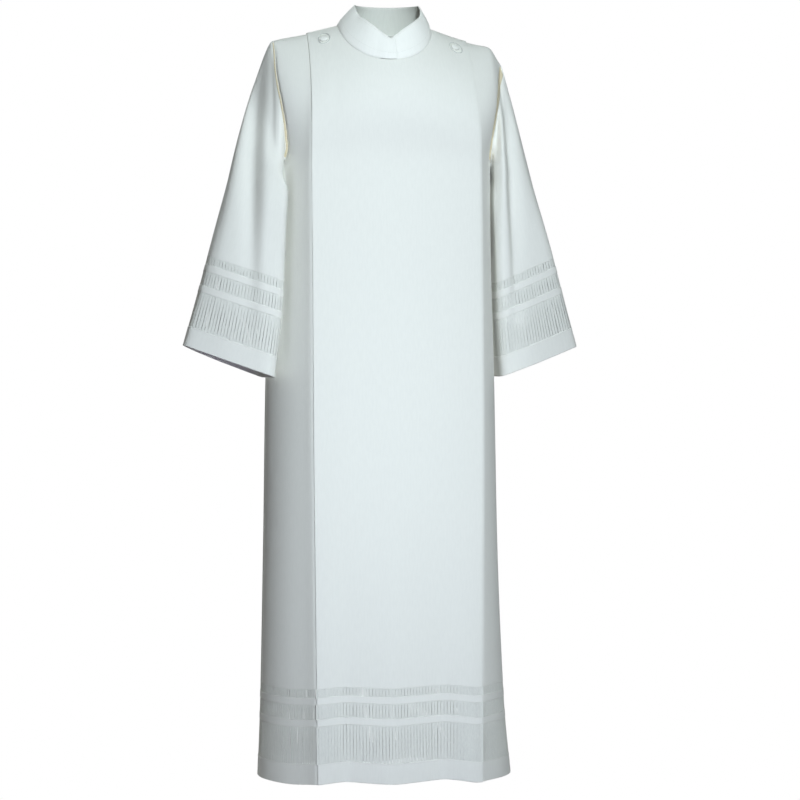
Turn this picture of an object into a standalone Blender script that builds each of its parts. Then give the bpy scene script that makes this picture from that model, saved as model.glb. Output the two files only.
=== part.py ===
"""A worn alb: a long white vestment with a wide pleated front, set-in sleeves and a stand collar.

Metres, +Z up. The front of the garment faces -Y and the wearer's left arm is towards +X.
The origin is in the middle of the neck, level with the two points where collar and shoulder meet.
"""

import math

import bpy
import numpy as np

# Cloth
CLOTH = 0.0016  # wall of a body or sleeve piece
COLLAR_WALL = 0.0022  # two layers of cloth with interfacing between
SEAM = 0.0005  # air between two pieces that are sewn together

# Lengths
HEM_Z = -1.448
CHEST_Z = -0.300  # every level ring below this is closed
YOKE_HEIGHT = 0.22  # height over which the shoulders round into the chest

# Neck and collar
NECK_HALF = 0.0860  # half the neckline's width, from shoulder seam to shoulder seam
NECK_FRONT_Z = -0.0694
NECK_BACK_Z = -0.012
COLLAR_GAP = 0.0006  # air between the collar and the back
PANEL_GAP = 0.0005  # as much more over the centre panel, which is rougher
COLLAR_LAP = 0.005  # the collar's lower edge lies this far down on the body cloth
COLLAR_TOP_X = 0.0075
COLLAR_TOP_HALF = 0.0635
COLLAR_TOP_FRONT = 0.079
COLLAR_TOP_BACK = 0.060
COLLAR_TOP_Z = 0.0415
COLLAR_V_X = 0.0005
COLLAR_V_Z = -0.0315
COLLAR_END = math.radians(7)  # how far each end passes the centre front
COLLAR_OVER = math.radians(20), math.radians(6)  # the end on top comes forward between these turns
COLLAR_OVER_SLOPE = 0.35  # metres up for each metre that it comes forward
COLLAR_END_GAP = 0.0007  # air between the two ends
COLLAR_ON_PANEL = -0.75, -0.40  # cosines of the turns between which it climbs onto the centre panel
COLLAR_BELLY = 0.002  # the band is rounded outwards by this much half-way up
COLLAR_PARTS = (0.0, 0.33, 0.67, 1.0)  # rows, from the lower edge to the upper
COLLAR_POINTS = 45  # columns

# Pleated front
PLEAT_RETURN = 0.045  # cloth folded back under each edge of the centre panel
RETURN_SHARES = (1.0, 0.5, 0.0)  # columns of the folded-back cloth, from its inner edge to the fold
RETURN_LIFT = 0.0023  # middle of the folded-back cloth above the middle of the side front
PANEL_LIFT = 0.0052  # middle of the centre panel above the middle of the side front
RIDGE_SQUASH = 0.28  # the pleat is flatter by this share where it crosses the shoulder
SQUASH_FALL = 0.06  # and has its full rise this far below
NECK_TURNING = 0.0012  # the last row at the neck, above the one before
SHOULDER_LAP = 0.0006  # the centre panel runs over the shoulder ridge and falls this far behind it
NECK_LAP = 0.0001  # the same beside the collar
LAP_START = 0.02  # the lap is full this far out from the collar

# Covered buttons that hold the centre panel on the shoulders
BUTTON_RADIUS = 0.0085
BUTTON_HEIGHT = 0.0048
BUTTON_GAP = 0.0006  # the flat base above the rounded cloth
BUTTON_X = {"right": -0.1215, "left": 0.1335}
BUTTON_FALL = {"right": 0.0215, "left": 0.024}  # from the shoulder seam down the front
BUTTON_PROFILE = ((0.80, 0.0), (0.97, 0.16), (1.0, 0.36), (0.93, 0.60), (0.70, 0.82), (0.36, 0.96))
BUTTON_SIDES = 20

# Level sections of the body.
BODY_COLUMNS = ("z", "half_width", "middle_x", "front", "back")
BODY = (
    (0.060, 0.2400, 0.002, 0.122, 0.118),
    (-0.070, 0.2390, 0.002, 0.127, 0.120),
    (-0.150, 0.2310, 0.001, 0.136, 0.124),
    (-0.210, 0.2200, -0.001, 0.143, 0.127),
    (-0.270, 0.2100, -0.002, 0.149, 0.129),
    (-0.450, 0.2140, -0.005, 0.161, 0.134),
    (-0.680, 0.2225, -0.007, 0.170, 0.142),
    (-1.000, 0.2280, -0.006, 0.177, 0.154),
    (-1.310, 0.2380, -0.002, 0.183, 0.165),
    (-1.448, 0.2470, 0.002, 0.187, 0.170),
)
FLATNESS, ROUNDNESS = 3.2, 2.4  # of the sections: flat in front, turning in fast at the sides
FALL_TOP_Z = -0.13  # below this the front falls back from the pleat's fold to the side seam
FALL_REACH = 0.13  # and this much lower it does so fully
FOLD_EDGE = 0.004  # the fall starts this far beyond the fold
FLAT_TOP_Z = -0.07  # below this the front flattens between the folds
FLAT_REACH = 0.18  # and this much lower it does so fully
FLAT_BULGE = 0.05  # its middle then stands out by this share of the depth
YOKE_CURVES = {"front": (2.2, 0.8), "back": (2.0, 0.5)}  # how the shoulders round over, as two powers
RIDGE_WIDTH = 0.010  # the cloth faces up within this of the shoulder ridge
SIDE_WIDTH = 0.10  # and straight out within this share of the depth from the side seam,
SIDE_FALL = 0.10  # this far or more below the ridge

# The shoulder ridge, from the wearer's right arm to the left, which hangs lower.
SHOULDER_COLUMNS = ("x", "z")
SHOULDER = (
    (-0.3000, -0.0620),
    (-0.2140, -0.0310),
    (-0.1500, -0.0175),
    (-0.0920, -0.0030),
    (0.0000, 0.0180),
    (0.0920, -0.0070),
    (0.1390, -0.0225),
    (0.1780, -0.0325),
    (0.2077, -0.0385),
    (0.2287, -0.0680),
    (0.3000, -0.1600),
)

# The two folded edges of the centre panel.
PANEL_COLUMNS = ("z", "right", "left")
PANEL = (
    (0.060, -0.1470, 0.1570),
    (-0.100, -0.1525, 0.1645),
    (-0.300, -0.1570, 0.1690),
    (-0.700, -0.1570, 0.1690),
    (-1.100, -0.1545, 0.1655),
    (-1.448, -0.1520, 0.1615),
)

# Where the armhole cuts the body, as the angle from the centre line in degrees, against the share of the
# height from the chest to the shoulder.
ARMPIT_SHARE = 0.06
ARMHOLE_COLUMNS = ("share", "right_front", "left_front", "right_back", "left_back")
ARMHOLE = (
    (0.00, 90.0, 90.0, 90.0, 90.0),
    (ARMPIT_SHARE, 90.0, 90.0, 90.0, 90.0),
    (0.13, 71.5, 77.5, 73.0, 75.0),
    (0.24, 66.2, 73.0, 68.0, 69.5),
    (0.38, 65.3, 71.0, 66.0, 67.5),
    (0.53, 65.6, 70.0, 66.0, 67.0),
    (0.67, 66.8, 69.6, 66.0, 67.5),
    (0.79, 66.6, 69.6, 66.2, 69.0),
    (0.90, 65.5, 70.5, 65.7, 70.8),
    (1.00, 65.0, 73.0, 65.0, 73.0),
)

SLEEVE_ROWS = (0.0, 0.02, 0.06, 0.11, 0.16, 0.22, 0.30, 0.38, 0.47, 0.56, 0.66, 0.77, 0.89, 1.0)
ARM_RISE = 0.0035  # the sleeve first carries on in line with the body cloth for this far
ARMPIT_OUT = 0.0035  # and under the arm it turns over to this far outside it

# Sleeve rings after the armhole: the outer and inner ends of each ring, its middle and depth from front to
# back, how far its front and its back reach past the inner end, round the body, and how far the outer end
# falls back. x is from the middle.
# Columns: share, outer_x, outer_z, inner_x, inner_z, middle_y, half_depth, reach, reach_behind, fall
SLEEVES = {
    "right": (
        (0.16, 0.2500, -0.112, 0.2180, -0.299, -0.016, 0.074, 0.011, 0.000, 0.055),
        (0.34, 0.2875, -0.223, 0.2230, -0.330, -0.032, 0.081, 0.024, 0.000, 0.030),
        (0.52, 0.3180, -0.336, 0.2280, -0.386, -0.046, 0.080, 0.026, 0.000, 0.012),
        (0.76, 0.3570, -0.480, 0.2320, -0.532, -0.048, 0.077, 0.024, 0.000, 0.000),
        (1.00, 0.3970, -0.620, 0.2400, -0.682, -0.044, 0.075, 0.014, 0.000, 0.000),
    ),
    "left": (
        (0.16, 0.2560, -0.145, 0.2170, -0.299, 0.000, 0.074, 0.008, 0.004, 0.035),
        (0.34, 0.2770, -0.235, 0.2200, -0.330, 0.000, 0.080, 0.012, 0.010, 0.024),
        (0.52, 0.3010, -0.336, 0.2220, -0.386, 0.004, 0.080, 0.013, 0.013, 0.010),
        (0.76, 0.3400, -0.480, 0.2250, -0.532, 0.010, 0.078, 0.012, 0.012, 0.000),
        (1.00, 0.3815, -0.622, 0.2280, -0.681, 0.016, 0.077, 0.004, 0.004, 0.000),
    ),
}

# The rings' shape: the turn from the top of the shoulder down the front, the way along from the inner
# end (-1) to the outer (1), the way forward from the middle, and the shares of the front's and back's reach.
RING_COLUMNS = ("degrees", "along", "forward", "reach", "behind")
RING = (
    (-35, 0.82, -0.56, 0.00, 0.0),
    (-16, 0.97, -0.08, 0.00, 0.0),
    (0, 1.00, 0.28, 0.00, 0.0),
    (14, 0.97, 0.48, 0.00, 0.0),
    (28, 0.80, 0.63, 0.00, 0.0),
    (46, 0.45, 0.76, 0.12, 0.0),
    (66, 0.03, 0.88, 0.34, 0.0),
    (90, -0.42, 0.98, 0.62, 0.0),
    (112, -0.76, 0.99, 0.86, 0.0),
    (130, -0.96, 0.83, 1.00, 0.0),
    (152, -1.00, 0.44, 0.72, 0.1),
    (180, -1.00, -0.05, 0.20, 0.3),
    (208, -0.90, -0.52, 0.00, 0.8),
    (238, -0.55, -0.88, 0.00, 0.9),
    (268, -0.05, -1.00, 0.00, 0.4),
    (298, 0.45, -0.88, 0.00, 0.0),
    (325, 0.82, -0.56, 0.00, 0.0),
    (344, 0.97, -0.08, 0.00, 0.0),
    (360, 1.00, 0.28, 0.00, 0.0),
)

# The front of each sleeve folds along a soft ridge beside the body and falls back beyond it into a
# trough: its x from the middle, how far the cloth steps back there, and how deep the trough is besides.
SLEEVE_FOLD_COLUMNS = ("z", "x", "step", "depth")
SLEEVE_FOLDS = {
    "right": (
        (0.00, 0.232, 0.000, 0.000),
        (-0.07, 0.238, 0.003, 0.010),
        (-0.13, 0.246, 0.006, 0.019),
        (-0.19, 0.254, 0.009, 0.023),
        (-0.30, 0.262, 0.010, 0.021),
        (-0.42, 0.266, 0.006, 0.011),
        (-0.55, 0.270, 0.002, 0.003),
        (-0.70, 0.274, 0.000, 0.000),
    ),
    "left": (
        (0.00, 0.214, 0.000, 0.000),
        (-0.07, 0.216, 0.001, 0.007),
        (-0.13, 0.220, 0.002, 0.014),
        (-0.19, 0.223, 0.003, 0.018),
        (-0.30, 0.228, 0.003, 0.019),
        (-0.42, 0.236, 0.002, 0.013),
        (-0.55, 0.242, 0.001, 0.004),
        (-0.70, 0.246, 0.000, 0.000),
    ),
}
FOLD_INNER_WIDTH = {"right": 0.011, "left": 0.007}  # of the trough's side beside the ridge
FOLD_OUTER_WIDTH = {"right": 0.022, "left": 0.020}  # of its side away from the body

# Height of the collar's upper edge round the neck, as a share of the rise from the V to the back.
COLLAR_EDGE_COLUMNS = ("degrees", "share")
COLLAR_EDGE = ((0, 0.0), (30, 0.345), (50, 0.53), (68, 0.67), (88, 0.91), (104, 1.0), (180, 1.0))

# Soft upright folds, deepest at the hem. Columns: x, width, how far it swings out
FRONT_FOLDS = (
    (-0.150, 0.030, 0.006),
    (-0.098, 0.026, -0.009),
    (-0.012, 0.034, 0.011),
    (0.0885, 0.030, -0.014),
    (0.150, 0.022, 0.006),
)
BACK_FOLDS = (
    (-0.165, 0.026, 0.012),
    (-0.105, 0.024, -0.014),
    (-0.040, 0.028, 0.013),
    (0.025, 0.024, -0.012),
    (0.088, 0.030, 0.014),
    (0.160, 0.026, -0.010),
)
FRONT_FOLD_TOP_Z = -0.85
BACK_FOLD_TOP_Z = -0.30
FOLD_GROWTH = 1.3  # power by which they deepen

# Rows of every body piece: level ones below the chest, then shares of the way from there to the top edge.
LOWER_ROWS = (-1.448, -1.34, -1.21, -1.06, -0.90, -0.74, -0.58, -0.43)
UPPER_ROWS = (0.0, ARMPIT_SHARE, 0.13, 0.24, 0.38, 0.53, 0.67, 0.79, 0.885, 0.95, 0.985, 1.0)

COLOURS = {"cloth": (0.80, 0.83, 0.82), "collar": (0.82, 0.85, 0.84), "button": (0.84, 0.86, 0.85)}


def smooth(at, across, values):
    """Reads a table between its rows along a smooth curve that doesn't overshoot."""
    across, values = np.array(across, float), np.array(values, float)
    if across[0] > across[-1]:
        across, values = across[::-1], values[::-1]
    slope = np.diff(values) / np.diff(across)
    tangent = np.zeros(len(values))
    tangent[0], tangent[-1] = slope[0], slope[-1]
    same_way = slope[:-1] * slope[1:] > 0
    total = np.where(same_way, slope[:-1] + slope[1:], 1)
    tangent[1:-1] = np.where(same_way, 2 * slope[:-1] * slope[1:] / total, 0)
    at = np.clip(np.asarray(at, float), across[0], across[-1])
    i = np.clip(np.searchsorted(across, at, side="right") - 1, 0, len(slope) - 1)
    width = across[i + 1] - across[i]
    s = (at - across[i]) / width
    return (
        (2 * s**3 - 3 * s**2 + 1) * values[i]
        + (s**3 - 2 * s**2 + s) * width * tangent[i]
        + (3 * s**2 - 2 * s**3) * values[i + 1]
        + (s**3 - s**2) * width * tangent[i + 1]
    )


def read(table, columns, name, at):
    """The named column of a table at a value of its first column."""
    rows = np.array(table, float)
    return smooth(at, rows[:, 0], rows[:, columns.index(name)])


def body(name, z):
    return read(BODY, BODY_COLUMNS, name, z)


def shoulder_z(x):
    return read(SHOULDER, SHOULDER_COLUMNS, "z", x)


def panel_edge(side, z):
    return read(PANEL, PANEL_COLUMNS, side, z)


def armhole_angle(column, share):
    """The angle from the centre line, positive to the wearer's left."""
    sign = -1 if column.startswith("right") else 1
    return sign * np.radians(read(ARMHOLE, ARMHOLE_COLUMNS, column, share))


def panel_rise(lift, fall):
    """How far a layer of the pleat is above the side front. lift is its share of the pleat's full rise, and
    fall how far below the shoulder ridge it is."""
    squash = RIDGE_SQUASH * np.clip(1 - fall / SQUASH_FALL, 0, 1)
    return RETURN_LIFT + (PANEL_LIFT - RETURN_LIFT) * lift * (1 - squash)


def unit(vectors):
    return vectors / np.maximum(np.linalg.norm(vectors, axis=-1, keepdims=True), 1e-12)


def swing(folds, top_z, x, z):
    """How far the upright folds move the cloth out at this place; they deepen towards the hem."""
    total = np.zeros(np.broadcast(x, z).shape)
    for at, width, out in folds:
        total = total + out * np.exp(-(((x - at) / width) ** 2))
    return total * np.clip((top_z - z) / (top_z - HEM_Z), 0, 1) ** FOLD_GROWTH


def rounded(r):
    """How far out a section reaches at a share of its half width, as a share of its depth."""
    return np.clip(1 - r**FLATNESS, 0, 1) ** (1 / ROUNDNESS)


def ease(value):
    """0 to 1 with soft ends."""
    value = np.clip(value, 0, 1)
    return value * value * (3 - 2 * value)


def front_rounded(angle, z):
    """The same for the front, which is nearly flat between the pleat's folds and falls away beyond them."""
    r = np.sin(angle)
    right = (panel_edge("right", z) - FOLD_EDGE - body("middle_x", z)) / body("half_width", z)
    left = (panel_edge("left", z) + FOLD_EDGE - body("middle_x", z)) / body("half_width", z)
    start = np.where(r < 0, -right, left)
    share = np.clip((np.abs(r) - start) / (1 - start), 0, 1)
    falling = rounded(start) * np.sqrt(1 - share)
    across = np.clip((r - right) / (left - right), 0, 1)
    flat = rounded(-right) * (1 - across) + rounded(left) * across + FLAT_BULGE * 4 * across * (1 - across)
    beyond = np.abs(r) > start
    shape = np.where(beyond, falling, flat)
    weight = np.where(beyond, ease((FALL_TOP_Z - z) / FALL_REACH), ease((FLAT_TOP_Z - z) / FLAT_REACH))
    return rounded(np.abs(r)) * (1 - weight) + shape * weight


def surface(angle, z, back):
    """The middle of the body cloth at an angle from the centre line and a height. back is True or False."""
    flat = rounded(np.abs(np.sin(angle))) if back else front_rounded(angle, z)
    x = body("middle_x", z) + body("half_width", z) * np.sin(angle)
    t = np.clip((shoulder_z(x) - z) / YOKE_HEIGHT, 0, 1)
    power, root = YOKE_CURVES["back" if back else "front"]
    yoke = (1 - (1 - t) ** power) ** root
    if back:
        y = (body("back", z) + swing(BACK_FOLDS, BACK_FOLD_TOP_Z, x, z)) * flat * yoke
    else:
        y = -(body("front", z) + swing(FRONT_FOLDS, FRONT_FOLD_TOP_Z, x, z)) * flat * yoke
    return np.stack(np.broadcast_arrays(x, y, z), axis=-1)


def outward(angle, z, back):
    """The outward normal of the body cloth. Along the shoulder ridge it points up, and along the side out."""
    step = 1e-4
    lower = np.minimum(z, z - 2 * step)
    across = surface(angle + step, lower, back) - surface(angle - step, lower, back)
    up = surface(angle, lower + step, back) - surface(angle, lower - step, back)
    normal = unit(np.cross(across, up)) * (-1 if back else 1)
    place = surface(angle, z, back)
    fall = (shoulder_z(place[..., 0]) - z)[..., None]
    along = (shoulder_z(place[..., 0] + 0.002) - shoulder_z(place[..., 0] - 0.002)) / 0.004
    ridge = unit(np.stack([-along, np.zeros_like(along), np.ones_like(along)], axis=-1))
    weight = np.exp(-((fall / RIDGE_WIDTH) ** 2))
    normal = unit(normal * (1 - weight) + ridge * weight)
    side = np.stack([np.sign(angle) + 0 * z, 0 * angle + 0 * z, 0 * angle + 0 * z], axis=-1)
    weight = np.exp(-((np.cos(angle + 0 * z) / SIDE_WIDTH) ** 2))[..., None] * (fall > SIDE_FALL)
    return unit(normal * (1 - weight) + side * weight)


def angle_of(x, z):
    """The angle from the centre line at which the section at height z reaches x."""
    return np.arcsin(np.clip((x - body("middle_x", z)) / body("half_width", z), -1, 1))


def neckline(turn):
    """x and z of the neckline at a turn from the centre front, and whether it is on the back."""
    side = smooth(np.sin(turn), (-1, 1), (shoulder_z(-NECK_HALF), shoulder_z(NECK_HALF)))
    cos = np.cos(turn)
    z = np.where(cos > 0, side + (NECK_FRONT_Z - side) * cos, side - (NECK_BACK_Z - side) * cos)
    return NECK_HALF * np.sin(turn), z


def neck_z(x, back):
    """Height of the neckline at x, on the front or on the back."""
    turn = np.arcsin(np.clip(x / NECK_HALF, -1, 1))
    return neckline(np.pi - turn if back else turn)[1]


def cloth_material(name):
    material = bpy.data.materials.new(name)
    material.use_nodes = True
    shader = material.node_tree.nodes["Principled BSDF"]
    shader.inputs["Base Color"].default_value = (*COLOURS[name], 1)
    shader.inputs["Roughness"].default_value = 0.85 if name != "button" else 0.7
    shader.inputs["Metallic"].default_value = 0.0
    return material


def add_object(name, points, faces, material):
    mesh = bpy.data.meshes.new(name)
    mesh.from_pydata([tuple(map(float, p)) for p in points], [], faces)
    mesh.materials.append(material)
    mesh.shade_smooth()
    mesh.set_sharp_from_angle(angle=math.radians(40))
    made = bpy.data.objects.new(name, mesh)
    bpy.context.scene.collection.objects.link(made)
    return made


def split(points, a, b, c, d):
    """Two triangles for a quad, cut the same way in every layer that lies on another."""
    return [(a, b, c), (a, c, d)] if points[a][0] <= points[b][0] else [(a, b, d), (b, c, d)]


def wall(name, middle, normal, thickness, material, ring=False):
    """A cloth wall with its middle through a grid of points [row, column]; a ring closes across columns."""
    rows, columns = middle.shape[:2]
    half = normal * (thickness / 2)
    points = np.concatenate([(middle + half).reshape(-1, 3), (middle - half).reshape(-1, 3)])
    inner = rows * columns
    spans = columns if ring else columns - 1
    faces = []
    for row in range(rows - 1):
        for column in range(spans):
            a, b = row * columns + column, row * columns + (column + 1) % columns
            for triangle in split(points, a, b, b + columns, a + columns):
                faces.append(triangle)
                faces.append(tuple(inner + corner for corner in triangle[::-1]))
    for column in range(spans):
        a, b = column, (column + 1) % columns
        faces.append((b, a, inner + a, inner + b))
        a, b = a + inner - columns, b + inner - columns
        faces.append((a, b, inner + b, inner + a))
    if not ring:
        for row in range(rows - 1):
            a, b = row * columns, (row + 1) * columns
            faces.append((a, b, inner + b, inner + a))
            a, b = a + columns - 1, b + columns - 1
            faces.append((b, a, inner + a, inner + b))
    return add_object(name, points, faces, material)


def heights(x_at, top_z):
    """Each row's share of the way up from the chest, and its heights: level rows up to the chest, then
    rows that follow the top edge. x_at(z, share) gives the columns' x, and top_z(x) the top's height."""
    zero = np.zeros_like(x_at(CHEST_Z, 0.0))
    rows = [(0.0, zero + z) for z in LOWER_ROWS]
    for share in UPPER_ROWS:
        z = zero + CHEST_Z
        for _ in range(12):
            z = CHEST_Z + (top_z(x_at(z, share)) - CHEST_Z) * share
        rows.append((share, z))
    return rows


def build_front_panel(material):
    """The centre front, whose long edges fold back under it as pleats."""
    neck = np.sin(np.radians(np.linspace(0, 90, 6))) * NECK_HALF
    bend = (PANEL_LIFT - RETURN_LIFT) / 2
    # Each column: its share of the way out from the middle to the fold, metres beyond that, its share of the
    # pleat's lift and how far the cloth has turned over.
    edge = [(1, bend * math.sin(t), (1 + math.cos(t)) / 2, t) for t in (0, math.pi / 2)]
    edge += [(1, -share * PLEAT_RETURN, 0.0, math.pi) for share in RETURN_SHARES[::-1]]
    halves = {}
    for side, top in (("right", -panel_edge("right", 0.0)), ("left", panel_edge("left", 0.0))):
        out = np.concatenate([neck[1:], np.linspace(NECK_HALF, top, 4)[1:-1]]) / top
        halves[side] = [(share, 0.0, 1.0, 0.0) for share in out] + edge
    mirrored = [(-share, -more, lift, -turn) for share, more, lift, turn in halves["right"][::-1]]
    plan = mirrored + [(0.0, 0.0, 1.0, 0.0)] + halves["left"]
    share, more, lift, turn = (np.array(column) for column in zip(*plan))

    def x_at(z, _=0.0):
        return np.where(share < 0, -share * panel_edge("right", z), share * panel_edge("left", z)) + more

    def top_z(x):
        return np.where(np.abs(x) < NECK_HALF, np.minimum(neck_z(x, False), shoulder_z(x)), shoulder_z(x))

    levels = [z for _, z in heights(x_at, top_z)]
    middle, normal = [], []
    for z, behind in [(z, False) for z in levels] + [(levels[-1], True)]:
        x = x_at(z)
        fall = shoulder_z(x) - z
        at_neck = fall > 1e-5
        if behind:  # the last row laps over the shoulder, and at the neck it is a little higher
            lap = NECK_LAP + (SHOULDER_LAP - NECK_LAP) * np.clip((np.abs(x) - NECK_HALF) / LAP_START, 0, 1)
            z = np.where(at_neck, z + NECK_TURNING, shoulder_z(x) - lap)
        over = behind & ~at_neck
        angle = angle_of(x, z)
        place = np.where(over[..., None], surface(angle, z, True), surface(angle, z, False))
        up = np.where(over[..., None], outward(angle, z, True), outward(angle, z, False))
        along = unit(np.cross(up, np.array([0.0, 0.0, 1.0])))
        along *= np.where(along[:, :1] > 0, 1, -1)
        middle.append(place + up * panel_rise(lift, fall)[:, None])
        normal.append(up * np.cos(turn)[:, None] + along * np.sin(turn)[:, None])
    return wall("front_panel", np.array(middle), np.array(normal), CLOTH, material)


def body_grid(x_at, top_z, back):
    """The middle and the outward normal of a body piece, [row, column]."""
    places, normals = [], []
    for share, z in heights(x_at, top_z):
        angle = angle_of(x_at(z, share), z)
        places.append(surface(angle, z, back) + np.array([0.0, SEAM / 2 * (1 if back else -1), 0.0]))
        normals.append(outward(angle, z, back))
    return np.array(places), np.array(normals)


def x_of(angle, z):
    return body("middle_x", z) + body("half_width", z) * np.sin(angle)


def front_side_grid(side):
    """The front between the pleat and the side seam, up to the shoulder and round the armhole."""
    sign = -1 if side == "right" else 1
    beyond_fold = (0.2, 0.4, 0.58, 0.74, 0.88, 1.0)
    under = np.array(RETURN_SHARES + (0.0,) * len(beyond_fold))
    beyond = np.array((0.0,) * len(RETURN_SHARES) + beyond_fold)

    def x_at(z, share):
        """The first columns lie straight under the folded-back cloth's, and the rest run on to the edge."""
        inner = angle_of(panel_edge(side, z) - sign * under * PLEAT_RETURN, z)
        return x_of(inner + (armhole_angle(side + "_front", share) - inner) * beyond, z)

    return body_grid(x_at, shoulder_z, False)


def build_front_side(side, material):
    middle, normal = front_side_grid(side)
    if side == "right":
        middle, normal = middle[:, ::-1], normal[:, ::-1]
    return wall("front_side_" + side, middle, normal, CLOTH, material)


def back_grid():
    """The whole back in one piece, from side seam to side seam and up to the shoulders and neck."""
    neck = np.sin(np.radians(np.linspace(0, 90, 6)))[1:]
    halves = []
    for side, sign in (("right", -1), ("left", 1)):
        at_neck = angle_of(sign * NECK_HALF, 0.0) / armhole_angle(side + "_back", 1.0)
        halves.append(np.concatenate([neck * at_neck, np.linspace(at_neck, 1, 7)[1:]]))
    shares = np.concatenate([-halves[0][::-1], [0.0], halves[1]])

    def x_at(z, share):
        right, left = armhole_angle("right_back", share), armhole_angle("left_back", share)
        return x_of(np.where(shares < 0, -shares * right, shares * left), z)

    def top_z(x):
        return np.where(np.abs(x) < NECK_HALF, np.minimum(neck_z(x, True), shoulder_z(x)), shoulder_z(x))

    return body_grid(x_at, top_z, True)


def build_back(material):
    middle, normal = back_grid()
    return wall("back_panel", middle[:, ::-1], normal[:, ::-1], CLOTH, material)


def armhole(side):
    """The armhole's points and the body cloth's normals there, from the shoulder down the front to the
    armpit, then up the back. The points lie on the edges of the two body pieces."""
    first = len(LOWER_ROWS) + UPPER_ROWS.index(ARMPIT_SHARE)
    front, back = front_side_grid(side), back_grid()
    column = 0 if side == "right" else -1
    ring = []
    for k in (0, 1):
        forward, behind = front[k][first:, -1][::-1], back[k][first:, column]
        ends = (forward[-1] + behind[0]) / 2, (forward[0] + behind[-1]) / 2
        ring.append(np.concatenate([ends[1:], forward[1:-1], ends[:1], behind[1:-1]]))
    return ring[0], unit(ring[1])


def build_sleeve(side, material):
    """A tube from the armhole to the open cuff."""
    sign = -1 if side == "right" else 1
    seam, seam_normal = armhole(side)
    degrees = np.linspace(0, 360, len(seam), endpoint=False)
    turn = np.radians(degrees)
    along_seam = np.roll(seam, -1, axis=0) - np.roll(seam, 1, axis=0)
    away = unit(np.cross(seam_normal, along_seam)) * sign
    outside = np.array([sign, 0.0, 0.0])
    under_arm = (0.5 - 0.5 * np.cos(turn)[:, None]) ** 2
    rings = [seam + away * SEAM, seam + away * ARM_RISE + outside * ARMPIT_OUT * under_arm]
    places = [0.0, 0.02]
    shape = (read(RING, RING_COLUMNS, name, degrees)[:, None] for name in RING_COLUMNS[1:])
    along, deep, reached, reached_behind = shape
    for row in SLEEVES[side]:
        share, outer_x, outer_z, inner_x, inner_z, middle_y, half_depth, reach, reach_behind, fall = row
        outer = np.array([sign * outer_x, middle_y, outer_z])
        inner = np.array([sign * inner_x, middle_y, inner_z])
        ring = (outer + inner) / 2 + along * (outer - inner) / 2
        ring = ring - outside * (reached * reach + reached_behind * reach_behind)
        back = fall * (0.5 + 0.5 * along) ** 1.5 - deep * half_depth
        rings.append(ring + back * np.array([0.0, 1.0, 0.0]))
        places.append(share)
    rings = np.array(rings)
    middle = np.empty((len(SLEEVE_ROWS), len(turn), 3))
    for column in range(len(turn)):
        for k in range(3):
            middle[:, column, k] = smooth(SLEEVE_ROWS, places, rings[:, column, k])
    z = middle[..., 2]
    names = SLEEVE_FOLD_COLUMNS
    x, step, depth = (read(SLEEVE_FOLDS[side], names, name, z) for name in names[1:])
    past = np.abs(middle[..., 0]) - x
    trough = np.exp(-((past / np.where(past > 0, FOLD_OUTER_WIDTH[side], FOLD_INNER_WIDTH[side])) ** 2))
    fallen = step * (0.5 + 0.5 * np.tanh(past / FOLD_INNER_WIDTH[side])) + depth * trough
    middle[..., 1] += fallen * np.clip(np.sin(turn), 0, 1) ** 0.5
    round_it = np.roll(middle, -1, axis=1) - np.roll(middle, 1, axis=1)
    normal = unit(np.cross(round_it, np.gradient(middle, axis=0))) * sign
    normal[0] = seam_normal
    if sign < 0:
        middle, normal = middle[::-1], normal[::-1]
    return wall("sleeve_" + side, middle, normal, CLOTH, material, ring=True)


def build_collar(material):
    """A standing band whose two ends cross under the V at the centre front."""
    turn = np.linspace(COLLAR_END, -COLLAR_END - 2 * math.pi, COLLAR_POINTS)
    place = (turn + math.pi) % (2 * math.pi) - math.pi
    x, z = neckline(place)
    behind = np.cos(place) < 0
    x = x * (1 + COLLAR_LAP / NECK_HALF)
    z = z - COLLAR_LAP * np.cos(place) * np.where(behind, -0.5, 1.0)
    z = np.minimum(z, shoulder_z(x))
    angle = angle_of(x, z)
    low = np.where(behind[:, None], surface(angle, z, True), surface(angle, z, False))
    off = np.where(behind[:, None], outward(angle, z, True), outward(angle, z, False))
    clear = CLOTH / 2 + COLLAR_WALL / 2 + COLLAR_GAP
    climb_start, climb_end = COLLAR_ON_PANEL
    climb = np.clip((np.cos(place) - climb_start) / (climb_end - climb_start), 0, 1)
    lift = clear + (PANEL_LIFT + PANEL_GAP) * climb
    low = low + off * lift[:, None]
    share = read(COLLAR_EDGE, COLLAR_EDGE_COLUMNS, "share", np.abs(np.degrees(place)))
    depth = np.where(behind, COLLAR_TOP_BACK, COLLAR_TOP_FRONT)
    at_front = np.clip(np.cos(place), 0, 1) ** 3
    high = np.stack(
        [
            COLLAR_TOP_X + (COLLAR_V_X - COLLAR_TOP_X) * at_front + COLLAR_TOP_HALF * np.sin(place),
            -depth * np.cos(place),
            COLLAR_V_Z + (COLLAR_TOP_Z - COLLAR_V_Z) * share,
        ],
        axis=-1,
    )
    over = np.clip((turn + COLLAR_OVER[0]) / (COLLAR_OVER[0] - COLLAR_OVER[1]), 0, 1)
    forward = np.array([0.0, -1.0, COLLAR_OVER_SLOPE]) * (COLLAR_WALL + COLLAR_END_GAP)
    lifted = over[:, None] * forward
    rows = []
    for part in COLLAR_PARTS:
        belly = COLLAR_BELLY * math.sin(math.pi * part)
        rows.append(low + (high - low) * part + off * belly + lifted)
    middle = np.array(rows)
    normal = unit(np.cross(np.gradient(middle, axis=0), np.gradient(middle, axis=1)))
    return wall("collar", middle[:, ::-1], normal[:, ::-1], COLLAR_WALL, material)


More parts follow.
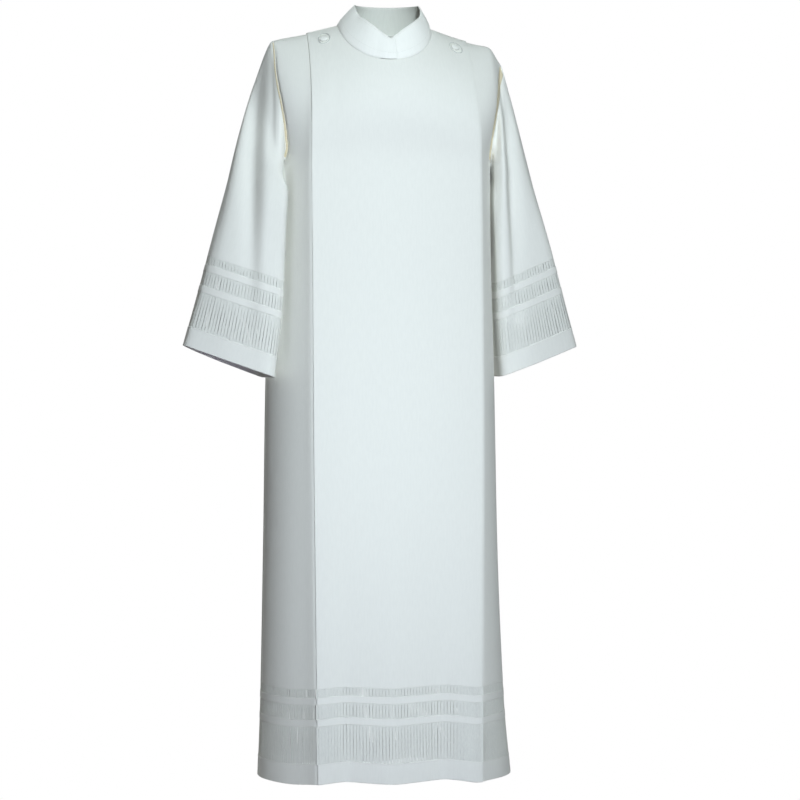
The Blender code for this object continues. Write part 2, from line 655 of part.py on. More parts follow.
def build_button(side, material):
    """A cloth-covered button: a flat base, a round edge and a low dome."""
    x = BUTTON_X[side]
    z = shoulder_z(x) - BUTTON_FALL[side]
    angle = angle_of(x, z)
    seat = surface(angle, z, False)
    up = outward(angle, z, False)
    seat = seat + up * (panel_rise(1.0, BUTTON_FALL[side]) + CLOTH / 2 + BUTTON_GAP)
    across = unit(np.cross(up, np.array([0.0, -1.0, 0.0])))
    other = np.cross(up, across)
    around = np.linspace(0, 2 * math.pi, BUTTON_SIDES, endpoint=False)
    points = [seat]
    for radius, height in BUTTON_PROFILE:
        for a in around:
            flat = across * math.cos(a) + other * math.sin(a)
            points.append(seat + flat * radius * BUTTON_RADIUS + up * height * BUTTON_HEIGHT)
    points.append(seat + up * BUTTON_HEIGHT)
    n = len(around)
    faces = [(0, 1 + (k + 1) % n, 1 + k) for k in range(n)]
    for ring in range(len(BUTTON_PROFILE) - 1):
        a = 1 + ring * n
        faces += [(a + k, a + (k + 1) % n, a + n + (k + 1) % n, a + n + k) for k in range(n)]
    last = 1 + (len(BUTTON_PROFILE) - 1) * n
    faces += [(last + k, last + (k + 1) % n, last + n) for k in range(n)]
    return add_object("button_" + side, points, faces, material)


def main():
    for item in list(bpy.data.objects):
        bpy.data.objects.remove(item)
    cloth, collar, button = (cloth_material(name) for name in COLOURS)
    build_front_panel(cloth)
    build_back(cloth)
    build_collar(collar)
    for side in ("right", "left"):
        build_front_side(side, cloth)
        build_sleeve(side, cloth)
        build_button(side, button)


main()
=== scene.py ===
import math

import bmesh
import bpy
import numpy as np
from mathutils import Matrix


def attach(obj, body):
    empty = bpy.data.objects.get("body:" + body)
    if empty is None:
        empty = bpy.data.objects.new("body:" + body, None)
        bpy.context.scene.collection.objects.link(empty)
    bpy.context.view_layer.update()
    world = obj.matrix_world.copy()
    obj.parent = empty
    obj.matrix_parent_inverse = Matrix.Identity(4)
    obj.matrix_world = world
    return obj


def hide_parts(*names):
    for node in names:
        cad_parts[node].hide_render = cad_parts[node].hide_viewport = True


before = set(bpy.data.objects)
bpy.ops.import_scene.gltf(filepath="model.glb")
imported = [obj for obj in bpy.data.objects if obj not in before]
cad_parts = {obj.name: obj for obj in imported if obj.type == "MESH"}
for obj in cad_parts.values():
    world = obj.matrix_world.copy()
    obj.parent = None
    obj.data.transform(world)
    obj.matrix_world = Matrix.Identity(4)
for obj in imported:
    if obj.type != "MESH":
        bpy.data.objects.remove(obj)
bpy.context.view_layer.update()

# A worn alb with nobody in it. The front faces -Y and the wearer's left arm is towards +X.
# Its form is worked out from short tables, as heights and angles round the body, and every piece of cloth
# is a grid over that form: rows go up or along it, columns go round it.

garment = {
    "hemZ": -1.448,
    "chestZ": -0.300,  # level rows end here, and the rows above follow the shoulders
    "flatness": 3.2,  # of the level sections: flat in front
    "roundness": 2.4,  # and turning in fast at the sides
    "yokeHeight": 0.22,  # the shoulders round into the chest over this height
    "yokeBend": {"front": (2.2, 0.8), "back": (2.0, 0.5)},
    "foldEdge": 0.004,
    "fallTop": -0.13,  # the side fronts turn away from the panel below this
    "fallReach": 0.13,
    "flatTop": -0.07,  # and below this the panel flattens between its folds
    "flatReach": 0.18,
    "flatBulge": 0.05,
    "ridgeBlend": 0.010,  # this close to the shoulder ridge the way out of the cloth turns upward
    "sideBlend": 0.10,  # and where the angle's cosine is this small it turns straight out
    "sideFall": 0.1,  # from this far below the shoulder
    "seamGap": 0.0005,
    "thickness": 0.0008,  # one layer of poplin with its finish
    "hemThickness": 0.0014,  # cloth turned up twice
    "stitchHeight": 0.0355,  # of the stitches above each hem and cuff
    "grid": 0.0062,  # size of a cell
    "upperRows": 46,
    "upperSpacing": 1.25,  # they lie closer together towards the shoulder
}

# How many columns each stretch of cloth has across.
columns = {"neck": 19, "fold": 8, "under": 9, "panelShoulder": 14, "backShoulder": 27, "sideUnder": 8,
           "side": 25}

sideSign = {"right": -1, "left": 1}  # of x
faceSign = {"front": -1, "back": 1}  # of y

bodyTable = {  # level sections
    "z": (0.060, -0.070, -0.150, -0.210, -0.270, -0.450, -0.680, -1.000, -1.310, -1.448),
    "halfWidth": (0.2400, 0.2390, 0.2310, 0.2200, 0.2100, 0.2140, 0.2225, 0.2280, 0.2380, 0.2470),
    "middleX": (0.002, 0.002, 0.001, -0.001, -0.002, -0.005, -0.007, -0.006, -0.002, 0.002),
    "front": (0.122, 0.127, 0.136, 0.143, 0.149, 0.161, 0.170, 0.177, 0.183, 0.187),
    "back": (0.118, 0.120, 0.124, 0.127, 0.129, 0.134, 0.142, 0.154, 0.165, 0.170),
}

shoulderTable = {  # the ridge, from the wearer's right arm to the left, which hangs lower
    "x": (-0.3000, -0.2140, -0.1500, -0.0920, 0.0, 0.0920, 0.1390, 0.1780, 0.2077, 0.2287, 0.3000),
    "z": (-0.0620, -0.0310, -0.0175, -0.0030, 0.0180, -0.0070, -0.0225, -0.0325, -0.0385, -0.0680, -0.1600),
}

panelTable = {  # the two folded edges of the centre panel
    "z": (0.060, -0.100, -0.300, -0.700, -1.100, -1.448),
    "right": (-0.1470, -0.1525, -0.1570, -0.1570, -0.1545, -0.1520),
    "left": (0.1570, 0.1645, 0.1708, 0.1712, 0.1675, 0.1635),
}

armholeTable = {  # degrees from the centre line, against the share of the way from chest to shoulder
    "share": (0.00, 0.06, 0.13, 0.24, 0.38, 0.53, 0.67, 0.79, 0.90, 1.00),
    "right": {
        "front": (90.0, 90.0, 71.5, 66.2, 65.3, 65.6, 66.8, 66.6, 65.5, 65.0),
        "back": (90.0, 90.0, 73.0, 68.0, 66.0, 66.0, 66.0, 66.2, 65.7, 65.0),
    },
    "left": {
        "front": (90.0, 90.0, 77.5, 73.0, 71.0, 70.0, 69.6, 69.6, 70.5, 73.0),
        "back": (90.0, 90.0, 75.0, 69.5, 67.5, 67.0, 67.5, 69.0, 70.8, 73.0),
    },
}

hemDrop = {  # the hem hangs this far below its level in a slow wave, which fades out upwards
    "x": (-0.245, -0.200, -0.157, -0.103, -0.040, -0.007, 0.050, 0.093, 0.1215, 0.156, 0.190, 0.245),
    "drop": (0.008, 0.010, 0.006, 0.0015, 0.0048, 0.006, 0.003, 0.001, 0.003, 0.007, 0.006, 0.006),
    "fadeZ": -0.95,
    "fadeReach": 0.45,
}

folds = {  # soft upright folds that deepen towards the hem: x, width, how far out
    "front": (
        (-0.150, 0.030, 0.006), (-0.098, 0.026, -0.009), (-0.012, 0.034, 0.011),
        (0.0885, 0.030, -0.014), (0.150, 0.022, 0.006),
    ),
    "back": (
        (-0.165, 0.026, 0.012), (-0.105, 0.024, -0.014), (-0.040, 0.028, 0.013),
        (0.025, 0.024, -0.012), (0.088, 0.030, 0.014), (0.160, 0.026, -0.010),
    ),
    "topZ": {"front": -0.85, "back": -0.30},
    "deepening": 1.3,
}

creases = {  # pressed and worn creases: start x and z, end x and z, width, how far out
    "front": (
        (-0.100, -0.060, -0.118, -0.210, 0.011, -0.0011),
        (0.102, -0.066, 0.128, -0.230, 0.012, -0.0013),
        (-0.060, -0.520, -0.075, -0.900, 0.022, -0.0016),
        (0.050, -0.420, 0.072, -0.860, 0.024, -0.0018),
        (0.000, -0.700, 0.008, -1.150, 0.026, 0.0016),
        (-0.030, -0.230, -0.022, -0.480, 0.024, 0.0012),
    ),
    "back": (
        (-0.150, -0.070, -0.105, -0.300, 0.013, -0.0030),
        (0.150, -0.085, 0.112, -0.310, 0.014, -0.0034),
        (-0.060, -0.150, -0.030, -0.480, 0.020, 0.0026),
        (0.055, -0.160, 0.035, -0.520, 0.018, -0.0026),
        (-0.125, -0.350, -0.105, -0.800, 0.018, -0.0035),
        (0.118, -0.380, 0.100, -0.850, 0.018, 0.0032),
    ),
    "panel": (  # only in the top layer
        (0.1310, -0.0540, 0.1430, -0.0860, 0.0035, -0.0030),
        (0.1430, -0.0520, 0.1530, -0.0780, 0.0045, -0.0024),
        (0.1020, -0.0220, 0.1230, -0.0330, 0.0040, -0.0020),
        (0.1210, -0.0500, 0.1080, -0.0850, 0.0060, -0.0008),
        (-0.1240, -0.0560, -0.1300, -0.0950, 0.0045, -0.0012),
        (-0.1130, -0.0550, -0.0990, -0.0900, 0.0055, -0.0008),
    ),
    "ends": 0.8,  # below 1 they fade out late
}


def smooth(at, across, values):  # between a table's rows, on a curve that doesn't overshoot
    across, values = np.array(across, float), np.array(values, float)
    if across[0] > across[-1]:
        across, values = across[::-1], values[::-1]
    slope = np.diff(values) / np.diff(across)
    tangent = np.zeros(len(values))
    tangent[0], tangent[-1] = slope[0], slope[-1]
    sameWay = slope[:-1] * slope[1:] > 0
    total = np.where(sameWay, slope[:-1] + slope[1:], 1)
    tangent[1:-1] = np.where(sameWay, 2 * slope[:-1] * slope[1:] / total, 0)
    at = np.clip(np.asarray(at, float), across[0], across[-1])
    i = np.clip(np.searchsorted(across, at, side="right") - 1, 0, len(slope) - 1)
    width = across[i + 1] - across[i]
    s = (at - across[i]) / width
    return ((2 * s**3 - 3 * s**2 + 1) * values[i] + (s**3 - 2 * s**2 + s) * width * tangent[i]
            + (3 * s**2 - 2 * s**3) * values[i + 1] + (s**3 - s**2) * width * tangent[i + 1])


def body(name, z):
    return smooth(z, bodyTable["z"], bodyTable[name])


def shoulderZ(x):
    return smooth(x, shoulderTable["x"], shoulderTable["z"])


def panelEdge(side, z):
    return smooth(z, panelTable["z"], panelTable[side])


def armholeAngle(side, face, share):
    return sideSign[side] * np.radians(smooth(share, armholeTable["share"], armholeTable[side][face]))


def unit(vectors):
    return vectors / np.maximum(np.linalg.norm(vectors, axis=-1, keepdims=True), 1e-12)


def ease(value):  # 0 to 1 with soft ends
    value = np.clip(value, 0, 1)
    return value * value * (3 - 2 * value)


def swing(face, x, z):
    total = np.zeros(np.broadcast(x, z).shape)
    for at, width, out in folds[face]:
        total = total + out * np.exp(-(((x - at) / width) ** 2))
    top = folds["topZ"][face]
    return total * np.clip((top - z) / (top - garment["hemZ"]), 0, 1) ** folds["deepening"]


def pressed(where, x, z):
    total = np.zeros(np.broadcast(x, z).shape)
    for x0, z0, x1, z1, width, out in creases[where]:
        dx, dz = x1 - x0, z1 - z0
        along = np.clip(((x - x0) * dx + (z - z0) * dz) / (dx * dx + dz * dz), 0, 1)
        aside = ((x - x0) * dz - (z - z0) * dx) / math.hypot(dx, dz)
        total = total + out * np.exp(-((aside / width) ** 2)) * np.sin(np.pi * along) ** creases["ends"]
    return total


def makeWaves(seed, count, across, up, height):  # slow waves, each with its own length, slant and height
    random = np.random.default_rng(seed)
    waves = []
    for _ in range(count):
        acrossRate = 2 * math.pi / random.uniform(*across)
        upRate = random.choice((-1, 1)) * 2 * math.pi / random.uniform(*up)
        phase = random.uniform(0, 2 * math.pi)
        waves.append((acrossRate, upRate, phase, height * random.uniform(0.5, 1.0)))
    return waves


def waved(waves, x, z):
    total = np.zeros(np.broadcast(x, z).shape)
    for acrossRate, upRate, phase, height in waves:
        total = total + height * np.sin(acrossRate * x + upRate * z + phase)
    return total


bodyWaves = {"front": makeWaves(11, 7, (0.10, 0.26), (0.7, 2.2), 0.00045),
             "back": makeWaves(12, 8, (0.09, 0.24), (0.6, 2.0), 0.0008)}

# The side fronts sink behind the pleat's fold: how deep at each height, and how far past the fold is deepest.
sideDip = {
    "z": (0.06, -0.10, -0.20, -0.40, -0.70, -1.00, -1.20, -1.448),
    "right": (0.001, 0.004, 0.008, 0.008, 0.006, 0.006, 0.007, 0.009),
    "left": (0.000, 0.001, 0.001, 0.001, 0.001, 0.001, 0.001, 0.003),
    "reach": {"right": 0.024, "left": 0.010},
}

# Beside the wearer's right sleeve the side front falls into a narrow crease.
sideCrease = {
    "z": (-0.20, -0.26, -0.33, -0.45, -0.58, -0.66),
    "x": (-0.197, -0.197, -0.198, -0.202, -0.206, -0.208),
    "depth": (0.0, 0.012, 0.024, 0.024, 0.012, 0.0),
    "width": 0.0060,
}


def dipBesideFold(x, z):
    total = np.zeros(np.broadcast(x, z).shape)
    for side, sign in sideSign.items():
        beyond = np.clip(sign * (x - panelEdge(side, z)), 0, None)
        share = beyond / sideDip["reach"][side]
        total = total + smooth(z, sideDip["z"], sideDip[side]) * share * np.exp(1 - share)
    off = (x - smooth(z, sideCrease["z"], sideCrease["x"])) / sideCrease["width"]
    return total + smooth(z, sideCrease["z"], sideCrease["depth"]) * np.exp(-off * off)


def rounded(r):
    return np.clip(1 - r ** garment["flatness"], 0, 1) ** (1 / garment["roundness"])


def frontFlat(angle, z):
    # nearly flat between the pleat's folds, and beyond them the front falls away to the side seam
    r = np.sin(angle)
    right = (panelEdge("right", z) - garment["foldEdge"] - body("middleX", z)) / body("halfWidth", z)
    left = (panelEdge("left", z) + garment["foldEdge"] - body("middleX", z)) / body("halfWidth", z)
    start = np.where(r < 0, -right, left)
    share = np.clip((np.abs(r) - start) / (1 - start), 0, 1)
    falling = rounded(start) * np.sqrt(1 - share)
    across = np.clip((r - right) / (left - right), 0, 1)
    flat = rounded(-right) * (1 - across) + rounded(left) * across
    flat = flat + garment["flatBulge"] * 4 * across * (1 - across)
    beyond = np.abs(r) > start
    weight = np.where(beyond, ease((garment["fallTop"] - z) / garment["fallReach"]),
                      ease((garment["flatTop"] - z) / garment["flatReach"]))
    return rounded(np.abs(r)) * (1 - weight) + np.where(beyond, falling, flat) * weight


def angleOf(x, z):
    return np.arcsin(np.clip((x - body("middleX", z)) / body("halfWidth", z), -1, 1))


def xOf(angle, z):
    return body("middleX", z) + body("halfWidth", z) * np.sin(angle)


def surface(angle, z, face, layer="all"):
    # middle of the body cloth at an angle from the centre line
    flat = rounded(np.abs(np.sin(angle))) if face == "back" else frontFlat(angle, z)
    x = xOf(angle, z)
    depth = body(face, z) + swing(face, x, z) + pressed(face, x, z) + waved(bodyWaves[face], x, z)
    if layer == "side":
        depth = depth - dipBesideFold(x, z)
    if layer == "panel":
        depth = depth + pressed("panel", x, z)
    t = np.clip((shoulderZ(x) - z) / garment["yokeHeight"], 0, 1)
    first, second = garment["yokeBend"][face]
    y = faceSign[face] * depth * flat * (1 - (1 - t) ** first) ** second
    return np.stack(np.broadcast_arrays(x, y, z), axis=-1)


def outward(angle, z, face, layer="all"):
    # the way out of the cloth: up along the shoulder ridge, and straight out along the side seam
    step, ridgeStep = 1e-4, 0.002
    lower = np.minimum(z, z - 2 * step)
    across = surface(angle + step, lower, face, layer) - surface(angle - step, lower, face, layer)
    up = surface(angle, lower + step, face, layer) - surface(angle, lower - step, face, layer)
    normal = unit(np.cross(across, up)) * -faceSign[face]
    x = surface(angle, z, face, layer)[..., 0]
    fall = (shoulderZ(x) - z)[..., None]
    along = (shoulderZ(x + ridgeStep) - shoulderZ(x - ridgeStep)) / (2 * ridgeStep)
    ridge = unit(np.stack([-along, np.zeros_like(along), np.ones_like(along)], axis=-1))
    weight = np.exp(-((fall / garment["ridgeBlend"]) ** 2))
    normal = unit(normal * (1 - weight) + ridge * weight)
    flat = 0 * angle + 0 * z
    side = np.stack([np.sign(angle) + flat, flat, flat], axis=-1)
    weight = np.exp(-((np.cos(angle + 0 * z) / garment["sideBlend"]) ** 2))[..., None]
    weight = weight * (fall > garment["sideFall"])
    return unit(normal * (1 - weight) + side * weight)


def clothAt(angle, z, face, layer="all"):  # its place and the way out there
    return surface(angle, z, face, layer), outward(angle, z, face, layer)


def clothEither(behind, angle, z, layer="all"):  # on the back where behind is true, and else on the front
    front, back = clothAt(angle, z, "front", layer), clothAt(angle, z, "back")
    return [np.where(behind[:, None], onBack, onFront) for onBack, onFront in zip(back, front)]


neck = {"half": 0.0860, "frontZ": -0.0694, "backZ": -0.012}


def neckline(turn):  # turn goes round the neck from the centre front
    side = smooth(np.sin(turn), (-1, 1), (shoulderZ(-neck["half"]), shoulderZ(neck["half"])))
    cos = np.cos(turn)
    z = np.where(cos > 0, side + (neck["frontZ"] - side) * cos, side - (neck["backZ"] - side) * cos)
    return neck["half"] * np.sin(turn), z


def neckZ(x, face):
    turn = np.arcsin(np.clip(x / neck["half"], -1, 1))
    return neckline(np.pi - turn if face == "back" else turn)[1]


def topZ(x, face):  # the upper edge of the body: the neckline, then the shoulder ridge
    return np.where(np.abs(x) < neck["half"], np.minimum(neckZ(x, face), shoulderZ(x)), shoulderZ(x))


def hung(points):  # lets the cloth down into the hem's slow wave
    fade = ease((hemDrop["fadeZ"] - points[..., 2]) / hemDrop["fadeReach"])
    points[..., 2] -= smooth(points[..., 0], hemDrop["x"], hemDrop["drop"]) * fade
    return points


# Openwork: three bands of drawn threads, with plain strips between them. Heights are above the edge.
openwork = {
    "bands": ((0.038, 0.109), (0.122, 0.150), (0.163, 0.179)),
    "plainAbove": 0.013,
    "pitch": 0.0062,  # from one bundle of threads to the next
    "unevenness": 0.02,  # of the pitch, as drawn threads are never quite regular
    "runOn": 0.001,  # each bundle's ends run on into the cloth
    "bar": {"End width": 0.0067, "Waist width": 0.0062, "Thickness": 0.0005},
}
edgeRows = [0.0, 0.0015, 0.006, 0.014, 0.022, 0.030, garment["stitchHeight"], openwork["bands"][0][0]]
for low, high in openwork["bands"]:
    edgeRows += [low + (high - low) * share for share in (0.25, 0.5, 0.75)]
    nextBand = [band[0] for band in openwork["bands"] if band[0] > high]
    plain = min(nextBand) - high if nextBand else openwork["plainAbove"]
    edgeRows += [high + plain * share for share in (0.0, 0.15, 0.5, 0.85, 1.0)]
edgeRows = sorted(set(round(row, 6) for row in edgeRows))
hemRow = edgeRows.index(garment["stitchHeight"])


def clothStrips(heights):
    # the runs of rows that are cloth, between the bands: first row, last row, thickness
    ends = [0.0] + [edge for band in openwork["bands"] for edge in band] + [heights[-1]]
    strips = []
    for pair in zip(ends[::2], ends[1::2]):
        first, last = (int(np.argmin(np.abs(np.array(heights) - height))) for height in pair)
        thickness = garment["hemThickness" if last < len(heights) - 1 else "thickness"]
        strips.append((first, last, thickness))
    return strips


levelCount = round((garment["chestZ"] - garment["hemZ"] - edgeRows[-1]) / garment["grid"])
levelRows = list(garment["hemZ"] + np.array(edgeRows))
levelRows += list(np.linspace(levelRows[-1], garment["chestZ"], levelCount + 1)[1:-1])
upperRows = list(1 - np.linspace(1, 0, garment["upperRows"]) ** garment["upperSpacing"])
upperRows = sorted(set([armholeTable["share"][1]] + upperRows))


def heightAt(share, xAt, top, zero):
    # the height at a share of the way from the chest to the top, which depends on where that comes out
    z = zero + garment["chestZ"]
    for _ in range(12):
        z = garment["chestZ"] + (top(xAt(z, share)) - garment["chestZ"]) * share
    return z


def rowsUp(xAt, top):
    # each row's share of the way up from the chest, and its heights: level to the chest, then following top
    zero = np.zeros_like(xAt(garment["chestZ"], 0.0))
    shares = [0.0] * len(levelRows) + upperRows
    heights = [zero + z for z in levelRows] + [heightAt(share, xAt, top, zero) for share in upperRows]
    return np.array(shares), np.array(heights)


def clothUv(points, ring):
    # metres along the cloth's own threads, across and up
    after = points[:, :1] if ring else points[:, -1:]
    across = np.linalg.norm(np.diff(points, axis=1, append=after), axis=-1)
    up = np.linalg.norm(np.diff(points, axis=0), axis=-1)
    u = np.concatenate([[0], np.cumsum(np.median(across, axis=0))])
    v = np.concatenate([[0], np.cumsum(np.median(up, axis=1))])
    return u, v


def newMesh(name, points, edges, faces):
    mesh = bpy.data.meshes.new(name)
    mesh.from_pydata([tuple(map(float, point)) for point in points], edges,
                     [tuple(map(int, face)) for face in faces])
    return mesh


def newObject(name, data):
    made = bpy.data.objects.new(name, data)
    bpy.context.scene.collection.objects.link(made)
    return made


def shell(name, points, normals, strips, ring=False):
    # Closed walls through a grid: outer sheet, inner sheet and a rounded edge. strips are (first row, last
    # row, thickness). The cloth keeps its own threads' directions in its UV map.
    columnCount = points.shape[1]
    u, v = clothUv(points, ring)
    vertices, faces, uvs = [], [], []
    spanCount = columnCount if ring else columnCount - 1
    probe = (strips[-1][0] + strips[-1][1]) // 2, columnCount // 2
    here, before, above = points[probe], points[probe[0], probe[1] - 1], points[probe[0] + 1, probe[1]]
    turned = -1 if np.dot(np.cross(here - before, above - here), normals[probe]) < 0 else 1

    def addFace(corners, cornerPlaces, sign=1):
        faces.append(corners[::sign * turned])
        uvs.extend(cornerPlaces[::sign * turned])

    for first, last, thickness in strips:
        part, out = points[first:last + 1], normals[first:last + 1] * (thickness / 2)
        rowCount = len(part)
        start = sum(len(block) for block in vertices)
        size = rowCount * columnCount
        vertices.append((part + out).reshape(-1, 3))
        vertices.append((part - out).reshape(-1, 3))
        grid = np.arange(size).reshape(rowCount, columnCount) + start
        rim = {}

        def rimRow(key, places, inward, reach):  # the rounded edge's crest
            away = unit(places - inward) * np.linalg.norm(reach, axis=-1, keepdims=True)
            rim[key] = np.arange(len(places)) + sum(len(block) for block in vertices)
            vertices.append(places + away)

        rimRow("low", part[0], part[1], out[0])
        rimRow("high", part[-1], part[-2], out[-1])
        for row in range(rowCount - 1):
            low, high = v[first + row], v[first + row + 1]
            for column in range(spanCount):
                after = (column + 1) % columnCount
                corners = grid[row, column], grid[row, after], grid[row + 1, after], grid[row + 1, column]
                places = [(u[column], low), (u[column + 1], low), (u[column + 1], high), (u[column], high)]
                addFace(corners, places)
                addFace(tuple(corner + size for corner in corners), places, -1)
        for key, row, sign in (("low", 0, 1), ("high", rowCount - 1, -1)):
            crest = rim[key]
            for column in range(spanCount):
                after = (column + 1) % columnCount
                places = [(u[at], v[first + row]) for at in (column, column + 1, column + 1, column)]
                addFace((crest[column], crest[after], grid[row, after], grid[row, column]), places, sign)
                addFace((grid[row, column] + size, grid[row, after] + size, crest[after], crest[column]),
                        places, sign)
        if ring:
            continue
        for column, neighbour, sign in ((0, 1, 1), (columnCount - 1, columnCount - 2, -1)):
            rimRow("side", part[:, column], part[:, neighbour], out[:, column])
            crest = rim["side"]
            for row in range(rowCount - 1):
                places = [(u[column], v[first + at]) for at in (row, row, row + 1, row + 1)]
                addFace((crest[row], grid[row, column], grid[row + 1, column], crest[row + 1]), places, sign)
                addFace((grid[row, column] + size, crest[row], crest[row + 1], grid[row + 1, column] + size),
                        places, sign)
            for row, end in ((0, "low"), (rowCount - 1, "high")):  # the corner
                corner = rim[end][column]
                facing = sign if end == "low" else -sign
                places = [(u[column], v[first + row])] * 3
                addFace((corner, grid[row, column], crest[row]), places, facing)
                addFace((grid[row, column] + size, corner, crest[row]), places, facing)
    mesh = newMesh(name, np.concatenate(vertices), [], faces)
    uvLayer = mesh.uv_layers.new(name="clothUv")
    uvLayer.data.foreach_set("uv", np.array(uvs, dtype=np.float32).ravel())
    mesh.shade_smooth()
    mesh.validate()
    return newObject(name, mesh)


def guideLines(name, lines, normals):
    # loose edges for Geometry Nodes to follow; each point keeps the way out of the cloth
    points, edges = [], []
    for line in lines:
        start = len(points)
        points += list(line)
        edges += [(start + k, start + k + 1) for k in range(len(line) - 1)]
    mesh = newMesh(name, points, edges, [])
    attribute = mesh.attributes.new("outwards", "FLOAT_VECTOR", "POINT")
    attribute.data.foreach_set("vector", np.concatenate(normals).astype(np.float32).ravel())
    return newObject(name, mesh)


def addNode(tree, kind, values=None, links=None, **settings):
    made = tree.nodes.new(kind)
    for key, value in settings.items():
        setattr(made, key, value)
    for key, value in (values or {}).items():
        made.inputs[key].default_value = value
    for key, source in (links or {}).items():
        tree.links.new(source, made.inputs[key])
    return made


def newTree(name, sizes):
    # every tree starts with curves along the guide lines
    tree = bpy.data.node_groups.new(name, "GeometryNodeTree")
    tree.interface.new_socket("Geometry", in_out="INPUT", socket_type="NodeSocketGeometry")
    tree.interface.new_socket("Geometry", in_out="OUTPUT", socket_type="NodeSocketGeometry")
    tree.interface.new_socket("Material", in_out="INPUT", socket_type="NodeSocketMaterial")
    for label, value in sizes.items():
        socket = tree.interface.new_socket(label, in_out="INPUT", socket_type="NodeSocketFloat")
        socket.default_value = value
    given = addNode(tree, "NodeGroupInput").outputs
    curve = addNode(tree, "GeometryNodeMeshToCurve", links={"Mesh": given["Geometry"]})
    out = addNode(tree, "GeometryNodeInputNamedAttribute", {"Name": "outwards"}, data_type="FLOAT_VECTOR")
    return tree, given, curve, out.outputs["Attribute"]


def endTree(tree, given, source, smoothFaces):
    shaded = addNode(tree, "GeometryNodeSetShadeSmooth", {"Shade Smooth": smoothFaces},
                     {"Geometry": source.outputs[0]})
    real = addNode(tree, "GeometryNodeRealizeInstances", links={"Geometry": shaded.outputs[0]})
    finish = addNode(tree, "GeometryNodeSetMaterial", links={"Geometry": real.outputs[0],
                                                             "Material": given["Material"]})
    addNode(tree, "NodeGroupOutput", links={0: finish.outputs[0]})
    return tree


def makeBarTree():
    # a flat bundle of threads along each guide line, drawn in at its waist
    tree, given, curve, out = newTree("threadBars", openwork["bar"])
    facing = addNode(tree, "GeometryNodeSetCurveNormal", mode="FREE",
                     links={"Curve": curve.outputs[0], "Normal": out})
    place = addNode(tree, "GeometryNodeSplineParameter")
    centred = addNode(tree, "ShaderNodeMath", {1: 2.0, 2: -1.0}, {0: place.outputs["Factor"]},
                      operation="MULTIPLY_ADD")
    square = addNode(tree, "ShaderNodeMath", {1: 2.0}, {0: centred.outputs[0]}, operation="POWER")
    ratio = addNode(tree, "ShaderNodeMath", links={0: given["Waist width"], 1: given["End width"]},
                    operation="DIVIDE")
    size = addNode(tree, "ShaderNodeMapRange", {"From Min": 0.0, "From Max": 1.0, "To Max": 1.0},
                   {"Value": square.outputs[0], "To Min": ratio.outputs[0]})
    profile = addNode(tree, "GeometryNodeCurvePrimitiveCircle", {"Resolution": 6, "Radius": 0.5})
    stretch = addNode(tree, "ShaderNodeCombineXYZ", {"Z": 1.0},
                      {"X": given["Thickness"], "Y": given["End width"]})
    flat = addNode(tree, "GeometryNodeTransform", links={"Geometry": profile.outputs["Curve"],
                                                         "Scale": stretch.outputs[0]})
    bars = addNode(tree, "GeometryNodeCurveToMesh", {"Fill Caps": True},
                   {"Curve": facing.outputs[0], "Profile Curve": flat.outputs[0], "Scale": size.outputs[0]})
    return endTree(tree, given, bars, False)


# Machine stitches, a little uneven in length.
stitching = {
    "above": 0.0002,  # the thread's middle over the cloth's face
    "stitch": {"Spacing": 0.0034, "Length": 0.0026, "Width": 0.0006, "Unevenness": 0.06},
}


def makeStitchTree():
    # one round-ended stitch after another along each guide line
    tree, given, curve, out = newTree("stitchRow", stitching["stitch"])
    even = addNode(tree, "GeometryNodeResampleCurve", mode="LENGTH",
                   links={"Curve": curve.outputs[0], "Length": given["Spacing"]})
    tangent = addNode(tree, "GeometryNodeInputTangent")
    turn = addNode(tree, "FunctionNodeAxesToRotation", primary_axis="X", secondary_axis="Z",
                   links={"Primary Axis": tangent.outputs[0], "Secondary Axis": out})
    stitch = addNode(tree, "GeometryNodeMeshUVSphere", {"Segments": 6, "Rings": 4, "Radius": 0.5})
    stretch = addNode(tree, "ShaderNodeCombineXYZ", links={"X": given["Length"], "Y": given["Width"],
                                                           "Z": given["Width"]})
    shaped = addNode(tree, "GeometryNodeTransform", links={"Geometry": stitch.outputs["Mesh"],
                                                           "Scale": stretch.outputs[0]})
    least = addNode(tree, "ShaderNodeMath", {0: 1.0}, {1: given["Unevenness"]}, operation="SUBTRACT")
    most = addNode(tree, "ShaderNodeMath", {0: 1.0}, {1: given["Unevenness"]}, operation="ADD")
    chance = addNode(tree, "FunctionNodeRandomValue", {"Seed": 5}, {2: least.outputs[0], 3: most.outputs[0]},
                     data_type="FLOAT")
    row = addNode(tree, "GeometryNodeInstanceOnPoints",
                  links={"Points": even.outputs[0], "Instance": shaped.outputs[0],
                         "Rotation": turn.outputs[0], "Scale": chance.outputs[1]})
    return endTree(tree, given, row, True)


def grown(guide, tree, material, sizes):
    # runs a tree on guide lines and keeps the result as a plain mesh under the same name
    modifier = guide.modifiers.new("grow", "NODES")
    modifier.node_group = tree
    sockets = {item.name: item.identifier for item in tree.interface.items_tree if item.in_out == "INPUT"}
    modifier[sockets["Material"]] = material
    for label, value in sizes.items():
        modifier[sockets[label]] = value
    bpy.context.view_layer.update()
    graph = bpy.context.evaluated_depsgraph_get()
    mesh = bpy.data.meshes.new_from_object(guide.evaluated_get(graph), depsgraph=graph)
    name, lines = guide.name, guide.data
    bpy.data.objects.remove(guide)
    bpy.data.meshes.remove(lines)
    mesh.name = name
    return newObject(name, mesh)


barTree, stitchTree = makeBarTree(), makeStitchTree()


def colour(code):  # sRGB hex to linear
    channels = [int(code[k:k + 2], 16) / 255 for k in (1, 3, 5)]
    return tuple(c / 12.92 if c <= 0.04045 else ((c + 0.055) / 1.055) ** 2.4 for c in channels) + (1.0,)


